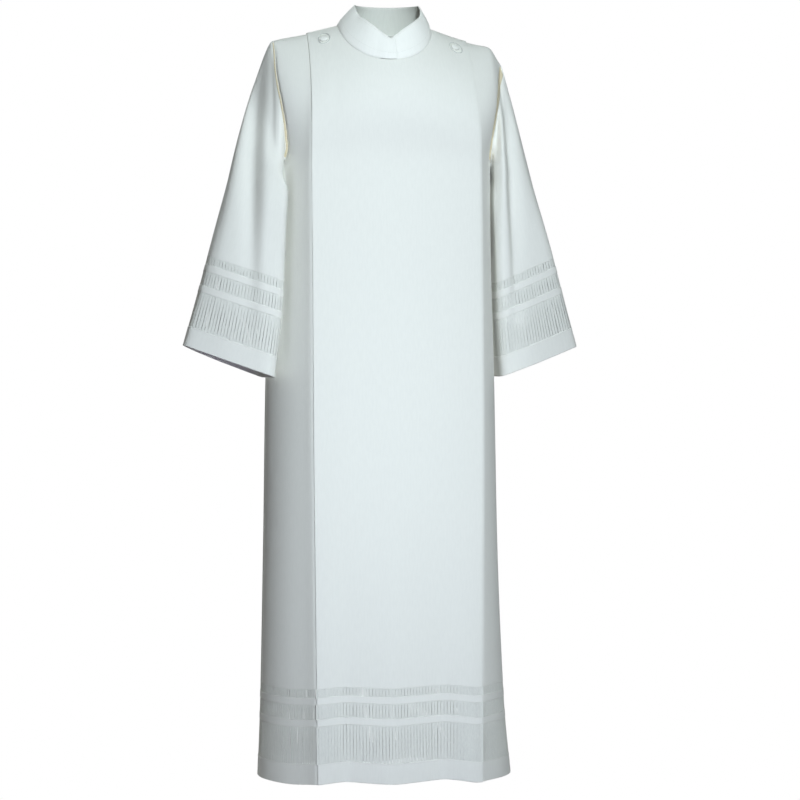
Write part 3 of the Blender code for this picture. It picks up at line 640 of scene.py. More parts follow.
def newMaterial(name, finish):
    material = bpy.data.materials.new(name)
    material.use_nodes = True
    shader = material.node_tree.nodes["Principled BSDF"]
    for label, value in finish.items():
        shader.inputs[label].default_value = value
    return material, material.node_tree, shader


def finishWith(tree, shader, tones, dark, light, relief, strength, distance):
    # one pattern's two tones, and another's relief
    tone = addNode(tree, "ShaderNodeMapRange", {"From Min": 0.35, "From Max": 0.65}, {"Value": tones})
    mixed = addNode(tree, "ShaderNodeMix", {6: colour(dark), 7: colour(light)}, {0: tone.outputs[0]},
                    data_type="RGBA")
    raised = addNode(tree, "ShaderNodeBump", {"Strength": strength, "Distance": distance}, {"Height": relief})
    tree.links.new(mixed.outputs[2], shader.inputs["Base Color"])
    tree.links.new(raised.outputs[0], shader.inputs["Normal"])


# Poplin is a tight plain weave of polyester and cotton: matt, with a faint bloom along its edges. Its threads
# are 0.25 mm apart and are drawn coarser, so that they show.
weave = {
    "threads": 0.0009,  # from one to the next
    "slubs": (260.0, 45.0, 1.0),  # to a metre: thick places in the threads, 4 mm apart and 22 mm long
    "crumples": 38.0,  # to a metre: soft unevenness, 26 mm from one to the next
    "share": 0.45,  # of the weave in the relief, beside the slubs
    "crumpleShare": 2.5,
    "relief": 0.0004,
}


def wovenCloth(name, light, dark, bump, roughness, sheen):
    material, tree, shader = newMaterial(name, {
        "Roughness": roughness, "IOR": 1.5, "Specular IOR Level": 0.25, "Sheen Weight": sheen,
        "Sheen Roughness": 0.45})
    place = addNode(tree, "ShaderNodeUVMap", uv_map="clothUv")
    split = addNode(tree, "ShaderNodeSeparateXYZ", links={0: place.outputs[0]})
    threads = {}
    for axis in (0, 1):
        angle = addNode(tree, "ShaderNodeMath", {1: 2 * math.pi / weave["threads"]}, {0: split.outputs[axis]},
                        operation="MULTIPLY")
        ridges = addNode(tree, "ShaderNodeMath", links={0: angle.outputs[0]}, operation="SINE")
        threads[axis] = ridges.outputs[0]
    crossing = addNode(tree, "ShaderNodeMath", links=threads, operation="MULTIPLY")
    fine = addNode(tree, "ShaderNodeMapping", {"Scale": weave["slubs"]}, {"Vector": place.outputs[0]})
    slub = addNode(tree, "ShaderNodeTexNoise", {"Scale": 1.0, "Detail": 2.0, "Roughness": 0.6},
                   {"Vector": fine.outputs[0]}, noise_dimensions="2D")
    soft = addNode(tree, "ShaderNodeTexNoise", {"Scale": weave["crumples"], "Detail": 3.0, "Roughness": 0.55},
                   {"Vector": place.outputs[0]}, noise_dimensions="2D")
    height = addNode(tree, "ShaderNodeMath", {1: weave["share"]},
                     {0: crossing.outputs[0], 2: slub.outputs[0]}, operation="MULTIPLY_ADD")
    relief = addNode(tree, "ShaderNodeMath", {1: weave["crumpleShare"]},
                     {0: soft.outputs[0], 2: height.outputs[0]}, operation="MULTIPLY_ADD")
    finishWith(tree, shader, slub.outputs[0], dark, light, relief.outputs[0], bump, weave["relief"])
    return material


def spunThread(name, light, dark, fibres, roughness):
    # polyester-cotton thread: matt, with its fibres as ribs; fibres is how many there are to a metre
    material, tree, shader = newMaterial(name, {
        "Roughness": roughness, "IOR": 1.5, "Specular IOR Level": 0.3})
    place = addNode(tree, "ShaderNodeTexCoord")
    stretched = addNode(tree, "ShaderNodeMapping", {"Scale": fibres}, {"Vector": place.outputs["Object"]})
    fibre = addNode(tree, "ShaderNodeTexNoise", {"Scale": 1.0, "Detail": 2.0},
                    {"Vector": stretched.outputs[0]})
    finishWith(tree, shader, fibre.outputs[0], dark, light, fibre.outputs[0], 0.3, 0.0002)
    return material


# One washed and pressed layer: an even, matt ivory.
poplin = wovenCloth("ivoryPoplin", "#EFEEE7", "#EDECE5", 0.10, 0.88, 0.12)
# The same cloth over interfacing, which makes its face smoother; the collar is painted whiter than the body
# cloth, as painted light.
collarLitPoplin = wovenCloth("collarLitPoplin", "#FAF9F3", "#F8F7F1", 0.09, 0.85, 0.12)
# The collar's inner face, towards the neck: the same cloth painted greyer and duller, as painted shade inside
# the neck.
collarShadedInside = wovenCloth("collarShadedInside", "#D9D9D2", "#D6D6CF", 0.09, 0.90, 0.08)
# Threads left standing where the others were drawn out: quite matt, with ribs 0.7 mm apart down each bundle,
# and painted darker than the cloth as painted shade for the holes between them.
drawnThreadShaded = spunThread("drawnThreadShaded", "#ECECE4", "#E2E2DB", (1500.0, 1500.0, 90.0), 0.95)
# Polyester sewing thread, spun hard: glossier than the cloth, so that each stitch shows.
sewingThread = spunThread("sewingThread", "#F2F1EB", "#DEDDD6", (900.0, 900.0, 900.0), 0.6)
# Plied cord with its plies 1.4 mm apart, painted greyer than the cloth as painted shadow round each button.
loopCordShadowGrey = spunThread("loopCordShadowGrey", "#DFE0DB", "#C9CAC5", (700.0, 700.0, 700.0), 0.7)
# Tape in the same weave, painted a warm cream as painted shade: the warm shade in the armhole seam's groove.
seamShadeTape = wovenCloth("seamShadeTape", "#E6DABC", "#DFD2B2", 0.10, 0.85, 0.10)
print("materials made")


def addOpenwork(name, points, normals, heights, ring=False):
    # bundles of threads across each band, over all the rows that lie in it
    lines, out = [], []
    for low, high in openwork["bands"]:
        rows = [k for k, height in enumerate(heights) if low - 1e-6 <= height <= high + 1e-6]
        band, bandOut = points[rows], normals[rows]
        middle = band[len(rows) // 2]
        steps = np.linalg.norm(np.diff(middle, axis=0, append=middle[:1] if ring else middle[-1:]), axis=-1)
        length = np.concatenate([[0], np.cumsum(steps)])
        total = length[-1] if ring else length[-2]
        count = round(total / openwork["pitch"])
        shifts = np.random.default_rng(31).uniform(-1, 1, count) * openwork["unevenness"]
        for k in range(count):
            at = total * (k + 0.5 + shifts[k]) / count
            column = min(np.searchsorted(length, at) - 1, len(middle) - 1)
            share = (at - length[column]) / max(steps[column], 1e-9)
            after = (column + 1) % len(middle)
            line = band[:, column] * (1 - share) + band[:, after] * share
            line[0] -= unit(line[1] - line[0]) * openwork["runOn"]
            line[-1] += unit(line[-1] - line[-2]) * openwork["runOn"]
            lines.append(line)
            out.append(unit(bandOut[:, column] * (1 - share) + bandOut[:, after] * share))
    return grown(guideLines(name, lines, out), barTree, drawnThreadShaded, openwork["bar"])


madePieces, grids = {}, {}


def keep(piece, material, node=None):
    if material:
        piece.data.materials.clear()
        piece.data.materials.append(material)
    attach(piece, "root")
    if node:
        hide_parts(node)
    madePieces[piece.name] = piece
    return piece


def makeCloth(part, end, node, points, normals, heights, ring=False):
    # the cloth of one part with its openwork; its grid is kept for what is sewn on it
    keep(shell(part + "_cloth" + end, points, normals, clothStrips(heights), ring), poplin, node)
    keep(addOpenwork(part + "_openwork" + end, points, normals, heights, ring), None)
    grids[part, end] = points, normals, ring


# Centre front: a wide panel whose long edges are pressed back under it as pleats.
panel = {
    "returnWidth": 0.045,
    "returnLift": 0.0013,  # middle of the folded-back cloth above the middle of the side front
    "panelLift": 0.0029,
    "ridgeSquash": 0.28,  # the pleat is flatter by this share where it crosses the shoulder
    "squashFall": 0.06,
    "neckTurning": 0.0012,
    "shoulderLap": 0.0006,
    "neckLap": 0.0001,
    "lapReach": 0.02,  # from the neck out
}


def panelRise(lift, fall):
    squash = panel["ridgeSquash"] * np.clip(1 - fall / panel["squashFall"], 0, 1)
    return panel["returnLift"] + (panel["panelLift"] - panel["returnLift"]) * lift * (1 - squash)


def makeFrontPanel():
    around = np.sin(np.radians(np.linspace(0, 90, columns["neck"]))) * neck["half"]
    bend = (panel["panelLift"] - panel["returnLift"]) / 2
    fold = [(1, bend * math.sin(turn), (1 + math.cos(turn)) / 2, turn)
            for turn in np.linspace(0, math.pi, columns["fold"])]
    fold += [(1, -share * panel["returnWidth"], 0.0, math.pi)
             for share in np.linspace(0, 1, columns["under"])[1:]]
    halves = {}
    for side, sign in sideSign.items():
        top = sign * panelEdge(side, 0.0)
        shoulder = np.linspace(neck["half"], top, columns["panelShoulder"])[1:-1]
        out = np.concatenate([around[1:], shoulder]) / top
        halves[side] = [(share, 0.0, 1.0, 0.0) for share in out] + fold
    mirrored = [(-share, -more, lift, -turn) for share, more, lift, turn in halves["right"][::-1]]
    plan = mirrored + [(0.0, 0.0, 1.0, 0.0)] + halves["left"]
    share, more, lift, turn = (np.array(column) for column in zip(*plan))

    def xAt(z, _=0.0):
        return np.where(share < 0, -share * panelEdge("right", z), share * panelEdge("left", z)) + more

    _, z = rowsUp(xAt, lambda x: topZ(x, "front"))
    x = xAt(z)
    fall = shoulderZ(x) - z
    place, up = clothAt(angleOf(x, z), z, "front", "panel")
    # one more row laps over the shoulder, and at the neck it is a little higher
    lastX, lastFall = x[-1], fall[-1]
    atNeck = lastFall > 1e-5
    lap = panel["neckLap"] + (panel["shoulderLap"] - panel["neckLap"]) * np.clip(
        (np.abs(lastX) - neck["half"]) / panel["lapReach"], 0, 1)
    lastZ = np.where(atNeck, z[-1] + panel["neckTurning"], shoulderZ(lastX) - lap)
    lastPlace, lastUp = clothEither(~atNeck, angleOf(lastX, lastZ), lastZ, "panel")
    place, up = np.concatenate([place, lastPlace[None]]), np.concatenate([up, lastUp[None]])
    fall = np.concatenate([fall, lastFall[None]])
    along = unit(np.cross(up, [0.0, 0.0, 1.0]))
    along *= np.where(along[..., :1] > 0, 1, -1)
    points = place + up * panelRise(lift, fall)[..., None]
    normals = up * np.cos(turn)[:, None] + along * np.sin(turn)[:, None]
    return hung(points), normals


# The cloth sinks into the armhole seam and rises again beyond it: how deep, from the armpit to the shoulder.
armSeam = {
    "share": (0.0, 0.07, 0.13, 0.24, 0.38, 0.53, 0.67, 0.79, 0.93, 1.0),
    "right": (0.0, 0.0, 0.0030, 0.0045, 0.0040, 0.0035, 0.0035, 0.0030, 0.0015, 0.0),
    "left": (0.0, 0.0, 0.0040, 0.0060, 0.0060, 0.0050, 0.0040, 0.0030, 0.0015, 0.0),
    "reach": {"right": 0.0040, "left": 0.0050},
    "slope": 0.6,  # of the surface there, which shortens what lies beside the seam
}


def seamDepth(side, share):
    return smooth(share, armSeam["share"], armSeam[side])


def bodyGrid(xAt, top, face, sides, layer="all"):
    # a front side or the back, sunk into the armhole seams of the sides it meets
    shares, z = rowsUp(xAt, top)
    angle = angleOf(np.array([xAt(row, share) for row, share in zip(z, shares)]), z)
    points, normals = clothAt(angle, z, face, layer)
    points = points + np.array([0.0, faceSign[face] * garment["seamGap"] / 2, 0.0])
    for side in sides:
        turned = np.abs(armholeAngle(side, face, shares)[:, None] - angle)
        away = turned * body("halfWidth", z) * armSeam["slope"]
        depth = np.exp(-((away / armSeam["reach"][side]) ** 2)) * seamDepth(side, shares)[:, None]
        points = points - normals * depth[..., None]
    return hung(points), normals


def makeFrontSide(side):
    under = np.concatenate([np.linspace(1, 0, columns["sideUnder"]), np.zeros(columns["side"] - 1)])
    beyond = np.concatenate([np.zeros(columns["sideUnder"]), np.linspace(0, 1, columns["side"])[1:]])

    def xAt(z, share):
        inner = angleOf(panelEdge(side, z) - sideSign[side] * under * panel["returnWidth"], z)
        return xOf(inner + (armholeAngle(side, "front", share) - inner) * beyond, z)

    return bodyGrid(xAt, shoulderZ, "front", [side], "side")


def makeBack():
    around = np.sin(np.radians(np.linspace(0, 90, columns["neck"])))[1:]
    halves = []
    for side, sign in sideSign.items():
        atNeck = angleOf(sign * neck["half"], 0.0) / armholeAngle(side, "back", 1.0)
        halves.append(np.concatenate([around * atNeck, np.linspace(atNeck, 1, columns["backShoulder"])[1:]]))
    across = np.concatenate([-halves[0][::-1], [0.0], halves[1]])

    def xAt(z, share):
        right, left = armholeAngle("right", "back", share), armholeAngle("left", "back", share)
        return xOf(np.where(across < 0, -across * right, across * left), z)

    return bodyGrid(xAt, lambda x: topZ(x, "back"), "back", sideSign)


sleeve = {
    # share of the length, outer end of the ring (x, z), inner end (x, z), its middle y, half its depth, how
    # far its front and its back reach past the inner end, round the body, how far the outer end falls back
    "right": (
        (0.16, 0.2500, -0.112, 0.2180, -0.299, -0.016, 0.074, 0.011, 0.000, 0.055),
        (0.34, 0.2875, -0.223, 0.2230, -0.330, -0.032, 0.081, 0.024, 0.000, 0.030),
        (0.52, 0.3180, -0.336, 0.2280, -0.386, -0.046, 0.080, 0.026, 0.000, 0.012),
        (0.76, 0.3570, -0.480, 0.2320, -0.532, -0.048, 0.077, 0.024, 0.000, 0.000),
        (1.00, 0.3970, -0.620, 0.2400, -0.682, -0.044, 0.075, 0.014, 0.000, 0.000),
    ),
    "left": (
        (0.16, 0.2560, -0.145, 0.2170, -0.299, 0.000, 0.074, 0.008, 0.004, 0.035),
        (0.34, 0.2770, -0.235, 0.2200, -0.330, 0.000, 0.080, 0.012, 0.010, 0.024),
        (0.52, 0.3010, -0.336, 0.2220, -0.386, 0.004, 0.080, 0.013, 0.013, 0.010),
        (0.76, 0.3400, -0.480, 0.2250, -0.532, 0.010, 0.078, 0.012, 0.012, 0.000),
        (1.00, 0.3815, -0.622, 0.2280, -0.681, 0.016, 0.077, 0.004, 0.004, 0.000),
    ),
    # the rings' shape: turn in degrees, along from the inner end (-1) to the outer (1), forward, and the
    # shares of the front's and the back's reach
    "ring": ((0, 1.00, 0.28, 0.00, 0.0), (14, 0.97, 0.48, 0.00, 0.0), (28, 0.80, 0.63, 0.00, 0.0),
             (46, 0.45, 0.76, 0.12, 0.0), (66, 0.03, 0.88, 0.34, 0.0), (90, -0.42, 0.98, 0.62, 0.0),
             (112, -0.76, 0.99, 0.86, 0.0), (130, -0.96, 0.83, 1.00, 0.0), (152, -1.00, 0.44, 0.72, 0.1),
             (180, -1.00, -0.05, 0.20, 0.3), (208, -0.90, -0.52, 0.00, 0.8), (238, -0.55, -0.88, 0.00, 0.9),
             (268, -0.05, -1.00, 0.00, 0.4), (298, 0.45, -0.88, 0.00, 0.0), (325, 0.82, -0.56, 0.00, 0.0),
             (344, 0.97, -0.08, 0.00, 0.0), (360, 1.00, 0.28, 0.00, 0.0)),
    "riseShare": 0.02,  # over this share of its length it carries on in line with the body cloth
    "armRise": 0.0035,
    "armpitOut": 0.0035,
    "length": 0.617,  # of share 0 to 1, where the cuff's bands are
    "columns": 100,
    "rows": 66,
    "seamRows": 9,  # more lie close together by the armhole
    "seamReach": 0.05,
    "seamSpacing": 1.6,
    "radius": 0.082,  # round which its waves run
    "calmShare": 0.10,  # they grow from the armhole over this share
    "calmTurn": 0.35,  # and from the top of the arm over this turn
}

# The front of each sleeve folds along a soft ridge beside the body and falls back beyond it, into a trough
# that is steep by the ridge and eases out: where the foot is at each height, how far the cloth steps back,
# and how deep the trough is.
sleeveFold = {
    "z": (0.0, -0.07, -0.13, -0.19, -0.30, -0.42, -0.55, -0.70),
    "right": (0.232, 0.238, 0.246, 0.254, 0.262, 0.266, 0.270, 0.274),
    "rightStep": (0.0, 0.003, 0.006, 0.009, 0.010, 0.006, 0.002, 0.0),
    "rightDepth": (0.0, 0.010, 0.019, 0.023, 0.021, 0.011, 0.003, 0.0),
    "left": (0.222, 0.226, 0.232, 0.236, 0.240, 0.244, 0.248, 0.250),
    "leftStep": (0.0, 0.001, 0.002, 0.003, 0.003, 0.002, 0.001, 0.0),
    "leftDepth": (0.0, 0.007, 0.014, 0.018, 0.019, 0.013, 0.004, 0.0),
    "inner": {"right": 0.011, "left": 0.007},
    "outer": {"right": 0.022, "left": 0.020},
    # in front of the left armhole it also falls into a narrow gap
    "gap": (0.230, 0.229, 0.2240, 0.2175, 0.211, 0.212, 0.212, 0.212),
    "gapDepth": (0.0, 0.003, 0.012, 0.018, 0.016, 0.004, 0.0, 0.0),
    "gapWidth": 0.0080,
    "gapShare": 0.04,  # which starts over this share of the sleeve's length
}
sleeveWaves = {side: makeWaves(seed, 6, (0.07, 0.20), (0.25, 0.9), 0.0009)
               for side, seed in (("right", 21), ("left", 22))}

# The share of the way from chest to shoulder, at every 18 degrees of turn from the shoulder to the armpit.
ringShares = (1.0, 0.985, 0.95, 0.885, 0.79, 0.67, 0.53, 0.38, 0.24, 0.13, 0.06)
ringTurns = np.linspace(0, 180, len(ringShares))


def armhole(side, turn):
    # its points and the way out of the body cloth there; turn is 0 on the shoulder, 180 at the armpit
    share = smooth(np.where(turn > 180, 360 - turn, turn), ringTurns, ringShares)
    points, normals = {}, {}
    for face, sign in faceSign.items():
        angle = armholeAngle(side, face, share)
        z = heightAt(share, lambda z, _: xOf(angle, z), shoulderZ, np.zeros(len(turn)))
        points[face], normals[face] = clothAt(angle, z, face, "side" if face == "front" else "all")
        points[face] = points[face] - normals[face] * seamDepth(side, share)[:, None]
        points[face][:, 1] += sign * garment["seamGap"] / 2
    onFront = (turn < 180)[:, None]
    place = np.where(onFront, points["front"], points["back"])
    out = np.where(onFront, normals["front"], normals["back"])
    for k in np.flatnonzero((turn == 0) | (turn == 180)):
        place[k] = (points["front"][k] + points["back"][k]) / 2
        out[k] = normals["front"][k] + normals["back"][k]
    return place, unit(out)


def ringShape(degrees):  # a closed curve through the table's points
    table = np.array(sleeve["ring"])[:-1]
    table = np.concatenate([table[-2:] - [360, 0, 0, 0, 0], table, table[:2] + [360, 0, 0, 0, 0]])
    return [smooth(degrees, table[:, 0], table[:, column])[:, None] for column in (1, 2, 3, 4)]


def tubeNormals(points, sign):
    roundIt = np.roll(points, -1, axis=1) - np.roll(points, 1, axis=1)
    return unit(np.cross(roundIt, np.gradient(points, axis=0))) * sign


def makeSleeve(side):
    sign = sideSign[side]
    turnDegrees = np.linspace(0, 360, sleeve["columns"], endpoint=False)
    turn = np.radians(turnDegrees)
    seam, seamNormal = armhole(side, turnDegrees)
    away = unit(np.cross(seamNormal, np.roll(seam, -1, axis=0) - np.roll(seam, 1, axis=0))) * sign
    outside = np.array([sign, 0.0, 0.0])
    underArm = (0.5 - 0.5 * np.cos(turn)[:, None]) ** 2
    rings = [seam + away * garment["seamGap"],
             seam + away * sleeve["armRise"] + outside * sleeve["armpitOut"] * underArm]
    places = [0.0, sleeve["riseShare"]]
    wide, deep, reached, reachedBehind = ringShape(turnDegrees)
    for share, outerX, outerZ, innerX, innerZ, middleY, halfDepth, reach, reachBehind, fall in sleeve[side]:
        outer, inner = np.array([sign * outerX, middleY, outerZ]), np.array([sign * innerX, middleY, innerZ])
        ring = (outer + inner) / 2 + wide * (outer - inner) / 2
        ring = ring - outside * (reached * reach + reachedBehind * reachBehind)
        back = fall * (0.5 + 0.5 * wide) ** 1.5 - deep * halfDepth
        rings.append(ring + back * [0.0, 1.0, 0.0])
        places.append(share)
    rings = np.array(rings)
    edge = [1 - height / sleeve["length"] for height in edgeRows][::-1]
    near = list(np.linspace(0, 1, sleeve["seamRows"]) ** sleeve["seamSpacing"] * sleeve["seamReach"])
    rows = np.array(near + list(np.linspace(near[-1], edge[0], sleeve["rows"])[1:-1]) + edge)
    points = np.empty((len(rows), len(turn), 3))
    for column, k in np.ndindex(len(turn), 3):
        points[:, column, k] = smooth(rows, places, rings[:, column, k])

    front = np.clip(np.sin(turn), 0, 1)[None, :] ** 0.5
    z, out = points[..., 2], np.abs(points[..., 0])
    past = out - smooth(z, sleeveFold["z"], sleeveFold[side])
    beyond = 0.5 + 0.5 * np.tanh(past / sleeveFold["inner"][side])
    step = smooth(z, sleeveFold["z"], sleeveFold[side + "Step"]) * beyond
    off = past / np.where(past > 0, sleeveFold["outer"][side], sleeveFold["inner"][side])
    trough = smooth(z, sleeveFold["z"], sleeveFold[side + "Depth"]) * np.exp(-off * off)
    points[..., 1] += (step + trough) * front
    if side == "left":
        off = (out - smooth(z, sleeveFold["z"], sleeveFold["gap"])) / sleeveFold["gapWidth"]
        gap = smooth(z, sleeveFold["z"], sleeveFold["gapDepth"]) * np.exp(-off * off)
        points[..., 1] += gap * front * ease(rows / sleeveFold["gapShare"])[:, None]

    calm = ease(rows / sleeve["calmShare"])[:, None]
    lift = waved(sleeveWaves[side], turn[None, :] * sleeve["radius"], rows[:, None] * sleeve["length"]) * calm
    closing = ease(np.minimum(turn, 2 * math.pi - turn) / sleeve["calmTurn"])[None, :]
    points = points + tubeNormals(points, sign) * (lift * closing)[..., None]
    normals = tubeNormals(points, sign)
    normals[0] = seamNormal
    # rows are turned to go up from the cuff, as the body's go up from the hem
    heights = (1 - rows[::-1]) * sleeve["length"]
    return points[::-1], normals[::-1], heights


# Each row's height above the edge. From the chest up only their order counts, and the panel has one row more.
heightsUp = list(np.array(levelRows) - garment["hemZ"]) + [2.0 + share for share in upperRows]

makeCloth("front_panel", "", "front_panel", *makeFrontPanel(), heightsUp + [3.5])
print("centre front made")
makeCloth("back", "", "back_panel", *makeBack(), heightsUp)
print("back made")
for side in sideSign:
    makeCloth("front_side", "_" + side, "front_side_" + side, *makeFrontSide(side), heightsUp)
    makeCloth("sleeve", "_" + side, "sleeve_" + side, *makeSleeve(side), ring=True)
print("sides and sleeves made")

collar = {
    "thickness": 0.0018,  # two layers with interfacing between
    "edgeShares": (0.30, 0.55, 0.85),  # of that thickness in the first rows of the pressed lower seam
    "gap": 0.0003,
    "lap": 0.005,  # its lower edge lies this far down on the body cloth
    "backLap": 0.5,  # and this share of it behind
    "stepEnd": 0.75,  # behind the shoulders it steps down off the panel, till the turn's cosine is minus this
    "stepReach": 0.35,
    "topX": 0.0075,
    "topHalf": 0.0635,
    "topFront": 0.079,
    "topBack": 0.060,
    "topZ": 0.0415,
    "vX": 0.0005,
    "vZ": -0.0315,
    "end": math.radians(7),  # each end passes the centre front
    "over": (math.radians(20), math.radians(6)),  # one end rises over the other between these turns
    "overSlope": 0.35,
    "endGap": 0.0010,
    "belly": 0.002,
    "topDegrees": (0, 30, 50, 68, 88, 104, 180),
    "topShares": (0.0, 0.345, 0.53, 0.67, 0.91, 1.0, 1.0),
    "columns": 150,
    "rows": 13,
    "stitchRows": (3, -2),
}


def makeCollar():
    turn = np.linspace(collar["end"], -collar["end"] - 2 * math.pi, collar["columns"])
    place = (turn + math.pi) % (2 * math.pi) - math.pi
    x, z = neckline(place)
    behind = np.cos(place) < 0
    x = x * (1 + collar["lap"] / neck["half"])
    z = z - collar["lap"] * np.cos(place) * np.where(behind, -collar["backLap"], 1.0)
    z = np.minimum(z, shoulderZ(x))
    low, off = clothEither(behind, angleOf(x, z), z)
    clear = garment["thickness"] / 2 + collar["thickness"] / 2 + collar["gap"]
    onPanelShare = np.clip((np.cos(place) + collar["stepEnd"]) / collar["stepReach"], 0, 1)
    low = low + off * (clear + panel["panelLift"] * onPanelShare)[:, None]
    share = smooth(np.abs(np.degrees(place)), collar["topDegrees"], collar["topShares"])
    depth = np.where(behind, collar["topBack"], collar["topFront"])
    topX = collar["topX"] + (collar["vX"] - collar["topX"]) * np.clip(np.cos(place), 0, 1) ** 3
    high = np.stack([topX + collar["topHalf"] * np.sin(place), -depth * np.cos(place),
                     collar["vZ"] + (collar["topZ"] - collar["vZ"]) * share], axis=-1)
    over = ease((turn + collar["over"][0]) / (collar["over"][0] - collar["over"][1]))
    forward = np.array([0.0, -1.0, collar["overSlope"]]) * (collar["thickness"] + collar["endGap"])
    rows = []
    for part in np.linspace(0, 1, collar["rows"]):
        belly = collar["belly"] * math.sin(math.pi * part)
        rows.append(low + (high - low) * part + off * belly + over[:, None] * forward)
    points = np.array(rows)
    normals = unit(np.cross(np.gradient(points, axis=0), np.gradient(points, axis=1)))
    if np.dot(normals[0, 0], points[0, 0] - points.mean(axis=(0, 1))) < 0:
        normals = -normals
    for row, share in enumerate(collar["edgeShares"]):  # thinner there, with its inner face where it was
        points[row] -= normals[row] * (1 - share) * collar["thickness"] / 2
        normals[row] = normals[row] * share
    return points, normals


collarPoints, collarNormals = makeCollar()
collarPiece = keep(shell("collar_cloth", collarPoints, collarNormals,
                         [(0, collar["rows"] - 1, collar["thickness"])]), collarLitPoplin, "collar")
collarPiece.data.materials.append(collarShadedInside)
neckMiddle = collarPoints.mean(axis=(0, 1))
# the faces that look towards the neck take the collar's painted shade
for face in collarPiece.data.polygons:  # what looks towards the neck is the facing
    if np.dot(face.normal[:2], face.center[:2] - neckMiddle[:2]) < 0:
        face.material_index = 1
print("collar made")


def onPanel(x, z, above):
    # a place this far above the centre panel's outer face, and the way out there
    place, up = clothAt(angleOf(x, z), z, "front", "panel")
    lift = panelRise(1.0, shoulderZ(x) - z) + garment["thickness"] / 2 + above
    return place + up * lift[..., None], up


# Covered buttons: a domed shell in the same poplin, which is gathered under its edge.
button = {
    "radius": 0.0085,
    "height": 0.0048,
    "gap": 0.0004,
    "x": {"right": -0.1215, "left": 0.1335},
    "fall": {"right": 0.0215, "left": 0.024},  # from the shoulder seam down the front
    "profile": ((0.0, 0.0), (0.80, 0.0), (0.93, 0.05), (0.985, 0.18), (1.0, 0.36), (0.97, 0.52), (0.90, 0.66),
                (0.76, 0.80), (0.56, 0.905), (0.33, 0.97), (0.14, 0.995), (0.0, 1.0)),
    "sides": 48,
    "gathers": 14,
    "gatherDepth": 0.02,
    "gatherTop": 0.4,  # of the height
}


def makeButton(side):
    x, sides = button["x"][side], button["sides"]
    seat, up = onPanel(x, shoulderZ(x) - button["fall"][side], button["gap"])
    across = unit(np.cross(up, [0.0, -1.0, 0.0]))
    other = np.cross(up, across)
    around = np.linspace(0, 2 * math.pi, sides, endpoint=False)
    points, faces = [seat], []
    for radius, height in button["profile"][1:-1]:
        pinch = button["gatherDepth"] * max(0.0, 1 - height / button["gatherTop"])
        for turn in around:
            r = radius * (1 + pinch * math.cos(button["gathers"] * turn)) * button["radius"]
            flat = across * math.cos(turn) + other * math.sin(turn)
            points.append(seat + flat * r + up * height * button["height"])
    points.append(seat + up * button["height"])
    ringCount = len(button["profile"]) - 2
    for k in range(sides):
        after = (k + 1) % sides
        faces.append((0, 1 + after, 1 + k))
        for start in range(1, 1 + (ringCount - 1) * sides, sides):
            faces.append((start + k, start + after, start + sides + after, start + sides + k))
        start = 1 + (ringCount - 1) * sides
        faces.append((start + k, start + after, start + sides))
    mesh = newMesh("button_cover_" + side, points, [], faces)
    uvLayer = mesh.uv_layers.new(name="clothUv")
    for corner in mesh.loops:
        offset = points[corner.vertex_index] - seat
        uvLayer.data[corner.index].uv = float(offset @ across), float(offset @ other)
    mesh.shade_smooth()
    return newObject(mesh.name, mesh)


for side in sideSign:
    keep(makeButton(side), poplin, "button_" + side)
print("buttons made")


# A cord loop goes round each button.
loop = {
    "radius": 0.0008,
    "above": 1.15,  # its middle over the cloth, in radii
    "half": {"right": (0.0112, 0.0100), "left": (0.0128, 0.0098)},  # along the shoulder and down the front
    "middle": {"right": (0.0010, 0.0008), "left": (0.0016, -0.0004)},  # from the button's own
    "points": 56,
    "sides": 10,
}


def cord(name, line, radius, sides):
    # a round cord along a closed line of points
    count = len(line)
    along = unit(np.roll(line, -1, axis=0) - np.roll(line, 1, axis=0))
    across = unit(np.cross(along, [0.0, -1.0, 0.3]))
    lift = unit(np.cross(across, along))
    points, faces = [], []
    for k in range(count):
        for turn in np.linspace(0, 2 * math.pi, sides, endpoint=False):
            points.append(line[k] + (across[k] * math.cos(turn) + lift[k] * math.sin(turn)) * radius)
        here, there = k * sides, (k + 1) % count * sides
        for j in range(sides):
            after = (j + 1) % sides
            faces.append((here + j, here + after, there + after, there + j))
    mesh = newMesh(name, points, [], faces)
    tools = bmesh.new()
    tools.from_mesh(mesh)
    bmesh.ops.recalc_face_normals(tools, faces=tools.faces)
    tools.to_mesh(mesh)
    tools.free()
    mesh.shade_smooth()
    return newObject(name, mesh)


def makeLoop(side):
    middle, half = loop["middle"][side], loop["half"][side]
    turn = np.linspace(0, 2 * math.pi, loop["points"], endpoint=False)
    x = button["x"][side] + middle[0] + half[0] * np.cos(turn)
    z = shoulderZ(x) - button["fall"][side] + middle[1] + half[1] * np.sin(turn)
    line, _ = onPanel(x, z, loop["radius"] * loop["above"])
    return cord("button_loop_" + side, line, loop["radius"], loop["sides"])


for side in sideSign:
    keep(makeLoop(side), loopCordShadowGrey)
print("loops made")


# A narrow tape lies on the sleeve beside each armhole seam in front; its warm cream is painted shade from the
# seam's groove, and on the left it covers more of the sleeve's rows.
tape = {
    "rows": {"right": 4, "left": 9},  # the sleeve's rows it covers, counted from the seam
    "turn": {"right": (18, 160), "left": (18, 158)},  # from below the shoulder to above the armpit
    "above": 0.0011,  # its middle over the cloth's
    "thickness": 0.0005,
}


def makeShadeTape(side):
    points, normals, _ = grids["sleeve", "_" + side]
    first, last = (round(degrees / 360 * sleeve["columns"]) for degrees in tape["turn"][side])
    rows = slice(-1 - tape["rows"][side], -1)
    line, out = points[rows, first:last + 1], normals[rows, first:last + 1]
    strips = [(0, len(line) - 1, tape["thickness"])]
    return shell("armhole_shade_tape_" + side, line + out * tape["above"], out, strips)


